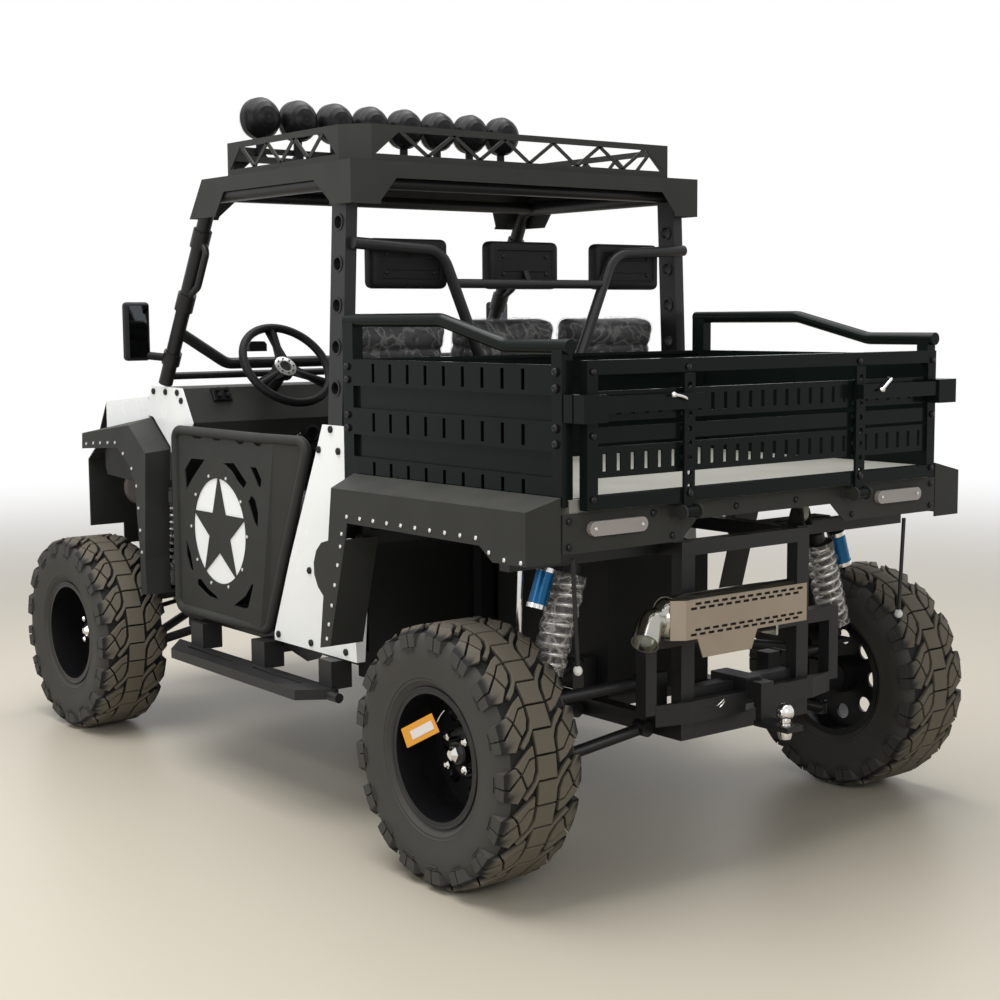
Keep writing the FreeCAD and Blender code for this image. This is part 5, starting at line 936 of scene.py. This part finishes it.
@dataclass
class Shock:
    """A coil spring over its damper, drawn up the Z axis, with its wrap."""

    length: float
    turns: int = 9
    coil: float = 0.0385
    wire: float = 0.0068
    start: float = 0.16
    end: float = 0.86

    def spring(self) -> Piece:
        """The wound wire, with closed ends."""
        rise = (self.end - self.start) * self.length / self.turns
        bpy.ops.mesh.primitive_circle_add(vertices=10, radius=self.wire, location=(self.coil, 0, 0),
                                          rotation=(math.pi / 2, 0, 0))
        spring = settle(added("spring"))
        modify(spring, "SCREW", angle=2 * math.pi, screw_offset=rise, iterations=self.turns, steps=24,
               render_steps=24, axis="Z", use_merge_vertices=False)
        with editing(spring, "EDGE"):
            bpy.ops.mesh.select_all(action="DESELECT")
            bpy.ops.mesh.select_non_manifold()
            bpy.ops.mesh.edge_face_add()
            bpy.ops.mesh.select_all(action="SELECT")
            bpy.ops.mesh.normals_make_consistent(inside=False)
        smooth(spring, 60)
        return turned(spring, Matrix.Translation((0, 0, self.start * self.length)))

    def damper(self) -> Piece:
        """The damper inside: rod, body, spring seats and both eyes."""
        low, high = self.start * self.length, self.end * self.length
        profile = [(0.0, 0.0001), (0.0, 0.014), (low - 0.014, 0.018), (low - 0.008, 0.044), (low, 0.045),
                   (low + 0.002, 0.016), (low + 0.09, 0.016), (low + 0.092, 0.023), (high - 0.002, 0.024),
                   (high, 0.045), (high + 0.01, 0.045), (high + 0.014, 0.025), (self.length - 0.006, 0.025),
                   (self.length, 0.018), (self.length, 0.0001)]
        return lathe("damper", profile, 32, up=True)

    def wrap(self) -> Piece:
        """The clear film that is wound round the spring, swollen and pinched along it."""
        film = lathe("film", [(self.length * (0.12 + 0.78 * step / 24), 0.049) for step in range(25)], 40)
        for vertex in film.data.vertices:
            along, y, z = vertex.co
            swell = 1 + 0.07 * noise.noise(Vector((along * 45, y * 60, z * 60)))
            pinch = 1 - 0.1 * max(0.0, math.sin(along * 140))
            vertex.co = (along, y * swell * pinch, z * swell * pinch)
        return turned(film, UPWARD)


@dataclass
class Suspension:
    """What shows of the shocks, their wrap, the rear reservoirs, the stays and the stabiliser's links."""

    front: tuple[Place, Place] = ((0.5, -1.158, 0.512), (0.42, -1.158, 0.85))
    rear: tuple[Place, Place] = ((0.6, 1.258, 0.518), (0.491, 1.258, 0.855))
    reservoir: tuple[Place, Place] = ((0.622, 1.258, 0.74), (0.585, 1.258, 0.847))
    reservoir_radius: float = 0.0265
    band_width: float = 0.012
    link: tuple[Place, Place] = ((0.664, 1.458, 0.9), (0.647, 1.458, 0.607))
    stay: tuple[Place, Place] = ((0.627, 1.2, 0.86), (0.637, 1.2, 0.62))

    @staticmethod
    def mirrored(ends: tuple[Place, Place], side: int) -> list[Vector]:
        """The same two ends on one side of the vehicle."""
        return [Vector((side * x, y, z)) for x, y, z in ends]

    def tank(self, length: float) -> Piece:
        """A reservoir's plain round body."""
        radius = self.reservoir_radius
        return lathe("tank", [(0.0, 0.0001), (0.0, radius * 0.9), (0.004, radius), (length - 0.004, radius),
                              (length, radius * 0.9), (length, 0.0001)], 32, up=True)

    def band(self, level: float) -> Piece:
        """A bright band round a reservoir."""
        inner, outer, end = self.reservoir_radius * 0.8, self.reservoir_radius * 1.06, level + self.band_width
        return lathe("band", [(level, inner), (level, outer), (end, outer), (end, inner), (level, inner)], 32,
                     up=True)

    def dress(self) -> None:
        """Builds the four shocks and what hangs beside them."""
        springs, dampers, tanks, bands, films, rods, stays, balls = ([] for _ in range(8))
        for side in (1, -1):
            for ends in (self.front, self.rear):
                foot, head = self.mirrored(ends, side)
                shock, onto = Shock((head - foot).length), outward(foot, head - foot)
                springs.append(turned(shock.spring(), onto))
                dampers.append(turned(shock.damper(), onto))
            low, top = self.mirrored(self.reservoir, side)
            length, beside = (top - low).length, outward(low, top - low)
            tanks.append(turned(self.tank(length), beside))
            bands += [turned(self.band(level), beside) for level in (0.0, length - self.band_width)]
            # Only the rear shock, the last of the two, is still wrapped
            films.append(turned(shock.wrap(), onto))
            rods.append(tube("rod", self.mirrored(self.link, side), 0.006))
            balls.append(knob(0.014, self.mirrored(self.link, side)[1], (0.75, 1.0, 1.0), 24))
            stays.append(tube("stay", self.mirrored(self.stay, side), 0.009))
        coils = give(merge("shock_springs", springs), "chassis", SILVER)
        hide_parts("shocks")
        give(merge("shock_dampers", dampers), "chassis", FRAME_BLACK)
        give(merge("shock_reservoirs", tanks), "chassis", BLUE)
        give(merge("reservoir_bands", bands), "chassis", POLISHED)
        give(merge("spring_wrap", films), "chassis", SPRING_FILM)
        give(merge("stabiliser_links", rods), "chassis", FRAME_BLACK)
        give(merge("arch_stays", stays), "chassis", POLISHED)
        give(merge("stabiliser_joints", balls), "chassis", WHITE_PLASTIC)


# Seats


@dataclass
class Pad:
    """A stuffed pad, swollen from a plain block by a short cloth simulation."""

    name: str
    size: Place
    centre: Place
    channels: tuple[float, ...]
    channel_axis: int
    lean: float = 0.0
    edge: float = 0.03
    voxel: float = 0.011
    pressure: float = 4.0
    cap: float = 0.012
    frames: int = 16
    channel_depth: float = 0.008
    channel_width: float = 0.006
    ripple: float = 0.0012
    ripple_scale: float = 26.0
    fill: float = 0.8

    def block(self) -> Piece:
        """The pad's plain form with rounded edges."""
        bpy.ops.mesh.primitive_cube_add(size=1.0)
        block = added(self.name)
        block.scale = self.size
        settle(block)
        modify(block, "BEVEL", width=self.edge, segments=4, limit_method="NONE")
        modify(block, "REMESH", mode="VOXEL", voxel_size=self.voxel)
        return block

    def inflate(self, block: Piece) -> None:
        """Lets air pressure round the block, each point moving no further than the cap."""
        before = [vertex.co.copy() for vertex in block.data.vertices]
        cloth = block.modifiers.new("Cloth", "CLOTH")
        cloth.settings.use_pressure = True
        cloth.settings.uniform_pressure_force = self.pressure
        cloth.settings.effector_weights.gravity = 0.0
        cloth.settings.quality = 3
        cloth.point_cache.frame_start = 1
        cloth.point_cache.frame_end = self.frames
        for frame in range(1, self.frames + 1):
            bpy.context.scene.frame_set(frame)
        select_only(block)
        bpy.ops.object.modifier_apply(modifier=cloth.name)
        bpy.context.scene.frame_set(1)
        for vertex, old in zip(block.data.vertices, before):
            move = vertex.co - old
            if move.length > self.cap:
                vertex.co = old + move.normalized() * self.cap

    def sew(self, block: Piece) -> None:
        """Draws the sewn channels in, and lets the cover wrinkle a little."""
        normals = [vertex.normal.copy() for vertex in block.data.vertices]
        for vertex, normal in zip(block.data.vertices, normals):
            along = vertex.co[self.channel_axis]
            depth = sum(self.channel_depth * math.exp(-((along - level) / self.channel_width) ** 2)
                        for level in self.channels)
            vertex.co -= normal * (depth - self.ripple * noise.noise(vertex.co * self.ripple_scale))

    def build(self) -> Piece:
        """The finished pad in its place."""
        block = self.block()
        self.inflate(block)
        self.sew(block)
        modify(block, "SUBSURF", levels=1, render_levels=1)
        select_only(block)
        bpy.ops.object.shade_smooth()
        lean = Euler((math.radians(self.lean), 0, 0)).to_matrix().to_4x4()
        return turned(block, Matrix.Translation(self.centre) @ lean)

    def film(self, pad: Piece) -> Piece:
        """A loose crumpled film over the pad."""
        cover = linked(self.name + "_film", pad.data.copy())
        normals = [vertex.normal.copy() for vertex in cover.data.vertices]
        for vertex, normal in zip(cover.data.vertices, normals):
            fold = abs(noise.noise(vertex.co * 9)) * 0.007 + abs(noise.noise(vertex.co * 23)) * 0.004
            vertex.co += normal * (0.002 + fold)
        return cover


@dataclass
class Seats:
    """The three seats with their headrests, in the film they came in."""

    places: tuple[float, ...] = (0.45, 0.0, -0.45)
    cushion: Place = (0.392, 0.482, 0.122)
    cushion_centre: Flat = (0.055, 0.866)
    cushion_channels: tuple[float, ...] = (-0.08, 0.08)
    back: Place = (0.392, 0.1, 0.592)
    back_centre: Flat = (0.3, 1.226)
    back_channels: tuple[float, ...] = (-0.12, 0.06, 0.2)
    back_lean: float = -8.0
    headrest: Place = (0.286, 0.058, 0.152)
    headrest_centre: Flat = (0.426, 1.682)
    headrest_plate: tuple[Flat, ...] = ((0.008, 0.0), (0.003, -0.004), (0.024, 0.0), (0.002, 0.002))

    def dress(self) -> None:
        """Builds the seats from left to right."""
        cushions, backs, films = [], [], []
        for number, x in enumerate(self.places):
            seat = Pad(f"seat_cushion_{number}", self.cushion, (x, *self.cushion_centre),
                       self.cushion_channels, 1)
            back = Pad(f"seat_back_{number}", self.back, (x, *self.back_centre), self.back_channels, 2,
                       self.back_lean)
            for pad, group in ((seat, cushions), (back, backs)):
                made = pad.build()
                films.append(pad.film(made))
                give(made, "chassis", VINYL)
                group.append(made)
        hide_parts("seat_cushions")
        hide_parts("seat_backs")
        give(merge("seat_film", films), "chassis", SEAT_FILM)
        self.headrests()

    def shell(self, x: float) -> Piece:
        """A headrest's moulded shell, with a recessed plate in its rear face."""
        bpy.ops.mesh.primitive_cube_add(size=1.0)
        shell = added("headrest")
        shell.scale = self.headrest
        settle(shell)
        modify(shell, "BEVEL", width=0.02, segments=5)
        with editing(shell):
            pick_faces(shell, lambda face: face.normal.y > 0.99)
            for thickness, depth in self.headrest_plate:
                bpy.ops.mesh.inset(thickness=thickness, depth=depth)
        shell.location = (x, *self.headrest_centre)
        smooth(shell, 35)
        return shell

    def headrests(self) -> None:
        """The headrests, each with four screws and its mount."""
        shell = merge("headrest_shells", [self.shell(x) for x in self.places])
        give(shell, "chassis", MOULDED)
        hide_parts("headrests")
        mounts = [tube("mount", [(x, 0.452, 1.72 if x else 1.66), (x, 0.468, 1.724 if x else 1.63)], 0.012)
                  for x in self.places]
        give(merge("headrest_mounts", mounts), "chassis", BOLT_BLACK)
        rear = self.headrest_centre[0] + self.headrest[1] / 2 - 0.004
        screws = [(Vector((x + dx, rear, self.headrest_centre[1] + dz)), Vector((0, 1, 0)))
                  for x in self.places for dx in (-0.088, 0.088) for dz in (-0.028, 0.028)]
        give(spread("headrest_screws", bolt_head(0.006, 0.003, 12), screws), "chassis", BOLT_BLACK)


# Small fasteners


@dataclass
class Row:
    """A row of like fasteners on one node, on both sides of the vehicle.

    Attributes:
        name: The joined piece's name.
        node: The CAD node that they sit on.
        body: The body that carries them.
        places: Where they are seen from the side, (y, z), or from the rear, (x, z).
        finish: What they are made of.
        radius: Each head's radius.
        rise: How far each stands out.
        sides: How many sides each has.
        rear: Whether they are seen from the rear.
    """

    name: str
    node: str
    body: str
    places: tuple[Flat, ...]
    finish: Finish
    radius: float
    rise: float
    sides: int = 14
    rear: bool = False


@dataclass
class Fasteners:
    """The bolts, screws and rivets that show on the panels."""

    rear_rivets: tuple[Flat, ...] = tuple((0.704 + 0.0672 * step, 0.957) for step in range(10)) + (
        (1.363, 0.925), (1.425, 0.912), (1.492, 0.912), (0.676, 0.905), (0.668, 0.868), (0.652, 0.812),
        (0.635, 0.752), (0.617, 0.69), (0.6, 0.632), (0.588, 0.588))
    front_rivets: tuple[Flat, ...] = (
        (-1.164, 1.058), (-1.102, 1.064), (-1.043, 1.068), (-0.98, 1.072), (-0.919, 1.076), (-0.855, 1.04),
        (-0.79, 0.99), (-0.755, 0.93), (-0.744, 0.852), (-0.735, 0.774), (-0.727, 0.696))
    post_bolts: tuple[Flat, ...] = (
        (0.532, 1.376), (0.532, 1.338), (0.532, 1.235), (0.532, 1.196), (1.482, 1.38), (1.482, 1.339),
        (1.482, 1.239), (1.482, 1.199))
    panel_bolts: tuple[Flat, ...] = (
        (0.269, 0.738), (0.074, 0.509), (0.271, 0.51), (0.47, 0.511), (0.405, 1.184), (0.446, 1.12),
        (0.336, 1.119), (-0.793, 1.262), (-0.701, 1.262), (-0.613, 1.262), (-0.585, 1.235))
    gate_bolts: tuple[Flat, ...] = (
        (0.341, 1.055), (0.341, 1.385), (0.341, 1.22), (0.672, 1.06), (0.672, 1.38), (0.672, 1.22))
    plate_bolts: tuple[Flat, ...] = ((0.72, 0.94), (0.72, 1.005), (0.43, 1.005), (0.36, 0.94), (0.12, 1.0))
    lamp_screws: tuple[Flat, ...] = ((0.642, 0.982), (0.48, 0.982))
    disc_centre: Flat = (-0.28, 0.809)
    disc_circle: float = 0.191
    disc_bolts: int = 10
    beside: float = 1.2
    behind: float = 2.2

    def rows(self) -> list[Row]:
        """The table of rows."""
        return [
            Row("rear_fender_rivets", "rear_fenders", "chassis", self.rear_rivets, RIVET, 0.0062, 0.003),
            Row("front_fender_rivets", "front_fenders", "chassis", self.front_rivets, RIVET, 0.0062, 0.003),
            Row("bed_post_bolts", "bed_walls", "bed", self.post_bolts, BOLT_BLACK, 0.011, 0.006, 12),
            Row("side_panel_bolts", "side_panels", "chassis", self.panel_bolts, BOLT_BLACK, 0.011, 0.005),
            Row("tailgate_bolts", "tailgate", "tailgate", self.gate_bolts, BOLT_BLACK, 0.009, 0.005, 6, True),
            Row("tail_plate_bolts", "tail_plate", "bed", self.plate_bolts, BOLT_BLACK, 0.009, 0.005, 12,
                True),
            Row("marker_lamp_screws", "marker_lamps", "bed", self.lamp_screws, RIVET, 0.005, 0.002, 12, True),
        ]

    def dress(self) -> None:
        """Sets every row on its node's surface."""
        for row in self.rows():
            spots = []
            for side in (1, -1):
                for first, second in row.places:
                    start, way = (side * self.beside, first, second), (-side, 0.0, 0.0)
                    if row.rear:
                        start, way = (side * first, self.behind, second), (0.0, -1.0, 0.0)
                    spots.append(on_surface(row.node, start, way))
            heads = spread(row.name, bolt_head(row.radius, row.rise, row.sides), spots)
            give(heads, row.body, row.finish)
        for side, name in ((1, "left"), (-1, "right")):
            self.door_bolts(side, name)

    def door_bolts(self, side: int, name: str) -> None:
        """The bolts round one door's disc."""
        spots = []
        for step in range(self.disc_bolts):
            turn = 2 * math.pi * (step + 0.5) / self.disc_bolts
            y = self.disc_centre[0] + self.disc_circle * math.sin(turn)
            z = self.disc_centre[1] + self.disc_circle * math.cos(turn)
            hits = [on_surface(node + name, (side * self.beside, y, z), (-side, 0, 0))
                    for node in ("door_", "door_disc_")]
            spots.append(max(hits, key=lambda hit: side * hit[0].x if abs(hit[0].x) < 1 else -1))
        give(spread("door_bolts_" + name, bolt_head(0.0062, 0.003, 14), spots), "door_" + name, RIVET)


# Cab


@dataclass
class SteeringHub:
    """The steering wheel's flat spokes and the bolted ring and button in its middle."""

    centre: Place = (0.35, -0.464, 1.354)
    lean: float = 38.0
    ring_outer: float = 0.041
    ring_inner: float = 0.021
    ring_level: float = -0.0095
    bolts: int = 8
    spoke: tuple[Flat, ...] = (
        (0.02, -0.028), (0.09, -0.017), (0.157, -0.024), (0.157, 0.024), (0.09, 0.017), (0.02, 0.028))
    spoke_level: float = -0.0135
    spoke_turns: tuple[float, ...] = (-90.0, 30.0, 150.0)

    def dress(self) -> None:
        """Builds the ring, its bolts, the black button and the spokes."""
        inner, outer = self.ring_inner, self.ring_outer
        ring = lathe("steering_ring", [(0.0, inner), (0.0, outer), (0.003, outer), (0.004, outer - 0.002),
                                       (0.004, inner + 0.001), (0.0, inner)], 48)
        button = lathe("steering_button", [(-0.004, 0.0001), (-0.004, 0.0205), (0.0015, 0.0205),
                                           (0.003, 0.018), (0.002, 0.0001)], 40)
        middle = (outer + inner) / 2
        spots = [(Vector((0.004, middle * math.cos(turn), middle * math.sin(turn))), Vector((1, 0, 0)))
                 for turn in (2 * math.pi * step / self.bolts for step in range(self.bolts))]
        screws = spread("steering_screws", bolt_head(0.0034, 0.002, 6), spots)
        lean = Euler((math.radians(self.lean - 90), 0, 0)).to_matrix().to_4x4()
        hub = Matrix.Translation(self.centre) @ lean
        onto = hub @ Matrix.Translation((0, 0, self.ring_level)) @ UPWARD
        for piece, finish in ((ring, SILVER), (button, MOULDED), (screws, BOLT_BLACK)):
            give(turned(piece, onto), "steering_wheel", finish)
        flat = hub @ Matrix.Translation((0, 0, self.spoke_level))
        spokes = [turned(plate("spoke", self.spoke, 0.004, 0.001),
                         flat @ Matrix.Rotation(math.radians(turn), 4, "Z")) for turn in self.spoke_turns]
        give(merge("steering_spokes", spokes), "steering_wheel", MOULDED)


@dataclass
class CabControls:
    """The switches, key and vent on the dashboard's rear face, the small meter and the mirrors' glass."""

    switch_place: Flat = (0.555, 1.25)
    key_place: Flat = (0.277, 1.1)
    vent_place: Flat = (0.215, 1.1)
    vent: tuple[Flat, ...] = (
        (0.0, 0.0001), (0.0, 0.012), (0.006, 0.014), (0.006, 0.022), (0.011, 0.026), (0.008, 0.031),
        (0.0, 0.032))
    meter_centre: Place = (0.37, -0.625, 1.4)
    meter: tuple[Flat, ...] = (
        (-0.036, 0), (0.036, 0), (0.036, 0.026), (0.026, 0.036), (-0.026, 0.036), (-0.036, 0.026))
    mirror_centre: Place = (0.801, -0.699, 1.476)
    mirror_half: Flat = (0.036, 0.09)

    @staticmethod
    def on_dash(place: Flat) -> Matrix:
        """The move of a form drawn up the Z axis to a place on the dashboard seen from the seats."""
        return outward(*on_surface("dashboard", (place[0], 0.2, place[1]), (0.0, -1.0, 0.0)))

    def switches(self) -> Piece:
        """A box with four push knobs."""
        knobs = []
        for dx in (-0.017, 0.017):
            for dy in (-0.011, 0.011):
                bpy.ops.mesh.primitive_cylinder_add(vertices=20, radius=0.008, depth=0.02,
                                                    location=(dx, dy, 0.018))
                push = added("push")
                with editing(push):
                    pick_faces(push, lambda face: face.normal.z > 0.9)
                    bpy.ops.mesh.bevel(offset=0.002, segments=2)
                knobs.append(push)
        return merge("dash_switches", [rectangle("box", 0.036, 0.026, 0.012, 0.003)] + knobs)

    def dress(self) -> None:
        """Builds the controls."""
        give(turned(self.switches(), self.on_dash(self.switch_place)), "chassis", MOULDED)
        vent = turned(lathe("dash_vent", self.vent, 40, up=True), self.on_dash(self.vent_place))
        give(vent, "chassis", MOULDED)
        key = turned(hex_nut(0.009, 0.018), self.on_dash(self.key_place) @ UPWARD)
        give(key, "chassis", POLISHED)
        meter = plate("meter", self.meter, 0.05, 0.004)
        turned(meter, Matrix.Translation(self.meter_centre) @ FLAT_TO_REAR)
        give(meter, "chassis", MOULDED)
        glasses = []
        for side in (1, -1):
            onto = Matrix.Translation((side * self.mirror_centre[0], *self.mirror_centre[1:])) @ FLAT_TO_REAR
            glasses.append(turned(rectangle("glass", *self.mirror_half, 0.002), onto))
        give(merge("mirror_glasses", glasses), "chassis", MIRROR)


# Lamps and the tail


@dataclass
class Lamps:
    """Lenses and bezels of the roof lamps and headlamps."""

    roof_count: int = 8
    roof_pitch: float = 0.1474
    roof_centre: Flat = (-0.343, 2.187)
    roof_radius: float = 0.066
    head_centre: Place = (0.47, -1.409, 0.86)
    head_radius: float = 0.074
    bulge: float = 0.012

    def lens(self, radius: float) -> Piece:
        """A round lens that bulges along +X."""
        arc = [math.radians(degrees) for degrees in range(10, 90, 10)]
        profile = [(self.bulge * math.sin(turn), radius * math.cos(turn)) for turn in arc]
        return lathe("lens", [(0.0, radius), *profile, (self.bulge, 0.0001)], 40)

    def bezel(self, radius: float) -> Piece:
        """A bright ring round a lens."""
        inner = radius - 0.004
        return lathe("bezel", [(-0.004, inner), (-0.004, radius + 0.004), (0.004, radius + 0.003),
                               (0.006, radius - 0.001), (0.002, inner), (-0.004, inner)], 48)

    def dress(self) -> None:
        """Builds the front of every lamp."""
        middle = (self.roof_count - 1) / 2
        row = [((step - middle) * self.roof_pitch, *self.roof_centre) for step in range(self.roof_count)]
        pair = [(side * self.head_centre[0], *self.head_centre[1:]) for side in (1, -1)]
        for name, places, radius, inset in (("roof_lamp", row, self.roof_radius, 0.004),
                                            ("headlamp", pair, self.head_radius, 0.006)):
            onto = [Matrix.Translation(place) @ Matrix.Rotation(-math.pi / 2, 4, "Z") for place in places]
            lenses = [turned(self.lens(radius - inset), move) for move in onto]
            give(merge(name + "_lenses", lenses), "chassis", LENS)
            bezels = [turned(self.bezel(radius), move) for move in onto]
            give(merge(name + "_bezels", bezels), "chassis", POLISHED)


@dataclass
class Tail:
    """The tailgate's latch levers, the hitch's lock pin and bright ball, and the shield's dark back."""

    lever_ends: tuple[tuple[float, ...], ...] = (
        (1, 0.381, 1.303, 0.435, 1.317), (-1, 0.436, 1.336, 0.389, 1.303))
    pin: tuple[Place, ...] = ((0.163, 1.462, 0.444), (0.163, 1.482, 0.444), (0.156, 1.492, 0.456),
                              (0.142, 1.49, 0.464), (0.137, 1.486, 0.45), (0.15, 1.482, 0.44))
    ball_centre: Place = (0.0, 1.587, 0.422)
    ball_radius: float = 0.0256
    ball_low: float = -0.075
    backing_half: Flat = (0.224, 0.047)
    backing_centre: Place = (0.136, 1.5695, 0.721)

    def lever(self, side: float, x0: float, z0: float, x1: float, z1: float) -> list[Piece]:
        """One latch's bent lever and the knob at its end.

        Args:
            side: 1 on the left of the vehicle and -1 on the right.
            x0: How far out the lever starts.
            z0: The height that it starts at.
            x1: How far out it ends.
            z1: The height that it ends at.

        Returns:
            The lever and its knob.
        """
        route = [(side * x0, 1.572, z0), (side * x0, 1.588, z0),
                 (side * (x0 + x1) / 2, 1.592, (z0 + z1) / 2 + 0.004), (side * x1, 1.59, z1)]
        return [tube("lever", route, 0.0042, bent=True), knob(0.0075, route[-1], (1.3, 1.0, 1.0), 16)]

    def ball(self) -> Piece:
        """The tow ball's bright skin: ball, neck, collar and the nut below the tongue."""
        radius, low = self.ball_radius, self.ball_low
        neck = radius * 0.62
        skirt = math.sqrt(radius ** 2 - neck ** 2)
        arc = [math.radians(degrees) for degrees in range(-45, 90, 9)]
        profile = [(low, 0.0001), (low, 0.017), (low + 0.012, 0.02), (-0.042, 0.02), (-0.042, 0.026),
                   (-0.034, 0.026), (-0.03, neck), (-skirt, neck)]
        profile += [(radius * math.sin(turn), radius * math.cos(turn)) for turn in arc]
        ball = lathe("hitch_ball", [*profile, (radius, 0.0001)], 40, up=True)
        return turned(ball, Matrix.Translation(self.ball_centre))

    def dress(self) -> None:
        """Builds all of them."""
        levers = [piece for ends in self.lever_ends for piece in self.lever(*ends)]
        give(merge("latch_levers", levers), "tailgate", POLISHED)
        give(tube("hitch_pin", self.pin, 0.0025, bent=True), "chassis", POLISHED)
        give(self.ball(), "chassis", POLISHED)
        backing = rectangle("shield_backing", *self.backing_half, 0.001)
        turned(backing, Matrix.Translation(self.backing_centre) @ FLAT_TO_REAR)
        give(backing, "chassis", ENGINE)


# Studio


@dataclass
class Studio:
    """The camera at the photograph's angle, the pale floor and the soft lights."""

    camera_place: Place = (3.4324, 4.6851, 1.5206)
    azimuth: float = 142.1931
    elevation: float = 6.3053
    roll: float = -0.4269
    lens: float = 60.26
    shift: Flat = (0.00934, 0.0010)
    floor_colour: Colour = (0.53, 0.485, 0.4)
    fade: Flat = (3.0, 11.0)
    sky: float = 0.35

    def camera(self) -> None:
        """Places the camera."""
        turn, rise, roll = (math.radians(angle) for angle in (self.azimuth, self.elevation, self.roll))
        back = Vector((math.sin(turn) * math.cos(rise), -math.cos(turn) * math.cos(rise), math.sin(rise)))
        right = (-back).cross(Vector((0, 0, 1))).normalized()
        up = right.cross(-back)
        across = math.cos(roll) * right + math.sin(roll) * up
        upward = -math.sin(roll) * right + math.cos(roll) * up
        data = bpy.data.cameras.new("camera")
        data.lens = self.lens
        data.sensor_width = 36.0
        data.shift_x, data.shift_y = self.shift
        data.clip_end = 200.0
        camera = linked("camera", data)
        facing = Matrix((across, upward, back)).transposed().to_4x4()
        camera.matrix_world = Matrix.Translation(self.camera_place) @ facing
        bpy.context.scene.camera = camera

    @staticmethod
    def lamp(name: str, place: Place, aim: Place, size: Flat, power: float) -> None:
        """Adds a soft lamp.

        Args:
            name: Its name.
            place: Where it stands.
            aim: What it points to.
            size: Its width and height.
            power: Its power in watts.
        """
        data = bpy.data.lights.new(name, "AREA")
        data.shape = "RECTANGLE"
        data.size, data.size_y = size
        data.energy = power
        lamp = linked(name, data)
        lamp.location = place
        lamp.rotation_euler = (Vector(place) - Vector(aim)).to_track_quat("Z", "Y").to_euler()

    def world(self) -> None:
        """A white surround for camera, gloss and glass rays, and a plain level of light for the rest."""
        world = bpy.data.worlds.new("surround")
        bpy.context.scene.world = world
        world.use_nodes = True
        graph = Graph(world.node_tree)
        plain = graph.tree.nodes["Background"]
        graph.feed(plain, {"Color": (1.0, 0.99, 0.97, 1), "Strength": self.sky})
        seen = graph.add("Background", {"Color": (1, 1, 1, 1), "Strength": 1.0})
        path = graph.add("LightPath", {}).outputs
        either = graph.maths("MAXIMUM", path["Is Camera Ray"], path["Is Transmission Ray"])
        white = graph.maths("MAXIMUM", either, path["Is Glossy Ray"])
        mix = graph.add("MixShader", {0: white, 1: plain.outputs[0], 2: seen.outputs[0]})
        graph.feed(graph.tree.nodes["World Output"], {"Surface": mix.outputs[0]})

    def floor(self) -> None:
        """A pale floor that fades to white far off."""
        bpy.ops.mesh.primitive_circle_add(vertices=96, radius=60.0, fill_type="NGON")
        floor = added("floor")
        material = bpy.data.materials.new("floor")
        material.use_nodes = True
        graph = Graph(material.node_tree)
        shader = graph.tree.nodes["Principled BSDF"]
        graph.feed(shader, {"Base Color": (*self.floor_colour, 1), "Roughness": 0.42})
        white = graph.add("Emission", {"Color": (1, 1, 1, 1)})
        far = graph.add("VectorMath", {0: graph.place()}, operation="LENGTH").outputs["Value"]
        fade = graph.add("MapRange", {"Value": far, "From Min": self.fade[0], "From Max": self.fade[1]},
                         interpolation_type="SMOOTHSTEP")
        mix = graph.add("MixShader", {0: fade.outputs["Result"], 1: shader.outputs[0], 2: white.outputs[0]})
        graph.feed(graph.tree.nodes["Material Output"], {"Surface": mix.outputs[0]})
        floor.data.materials.append(material)

    def dress(self) -> None:
        """Sets up the whole studio."""
        self.camera()
        self.world()
        self.floor()
        self.lamp("overhead", (0.5, 0.0, 5.0), (0, 0, 0.8), (4.0, 6.0), 370.0)
        self.lamp("rear", (2.5, 6.0, 3.2), (0, 0.6, 0.9), (3.0, 2.0), 90.0)
        self.lamp("left", (6.0, 0.5, 2.4), (0, 0, 0.9), (2.0, 4.0), 60.0)
        bpy.context.scene.view_settings.view_transform = "Standard"


def main() -> None:
    """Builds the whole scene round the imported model."""
    logging.basicConfig(level=logging.INFO, format="%(name)s: %(message)s")
    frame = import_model()
    NODES.update(frame["nodes"])
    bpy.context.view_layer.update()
    Studio().dress()
    Bodywork(frame["record"]).dress()
    tread = Tread()
    half_track, half_base = 0.7925, 1.158
    for place, x, y in (("fl", 1, -1), ("fr", -1, -1), ("rl", 1, 1), ("rr", -1, 1)):
        Wheel(place, (x * half_track, y * half_base, tread.radius), tread).dress()
    for group in (WheelTag, RackStruts, Suspension, Seats, Fasteners, SteeringHub, CabControls, Lamps, Tail):
        group().dress()


if __name__ == "__main__":
    main()
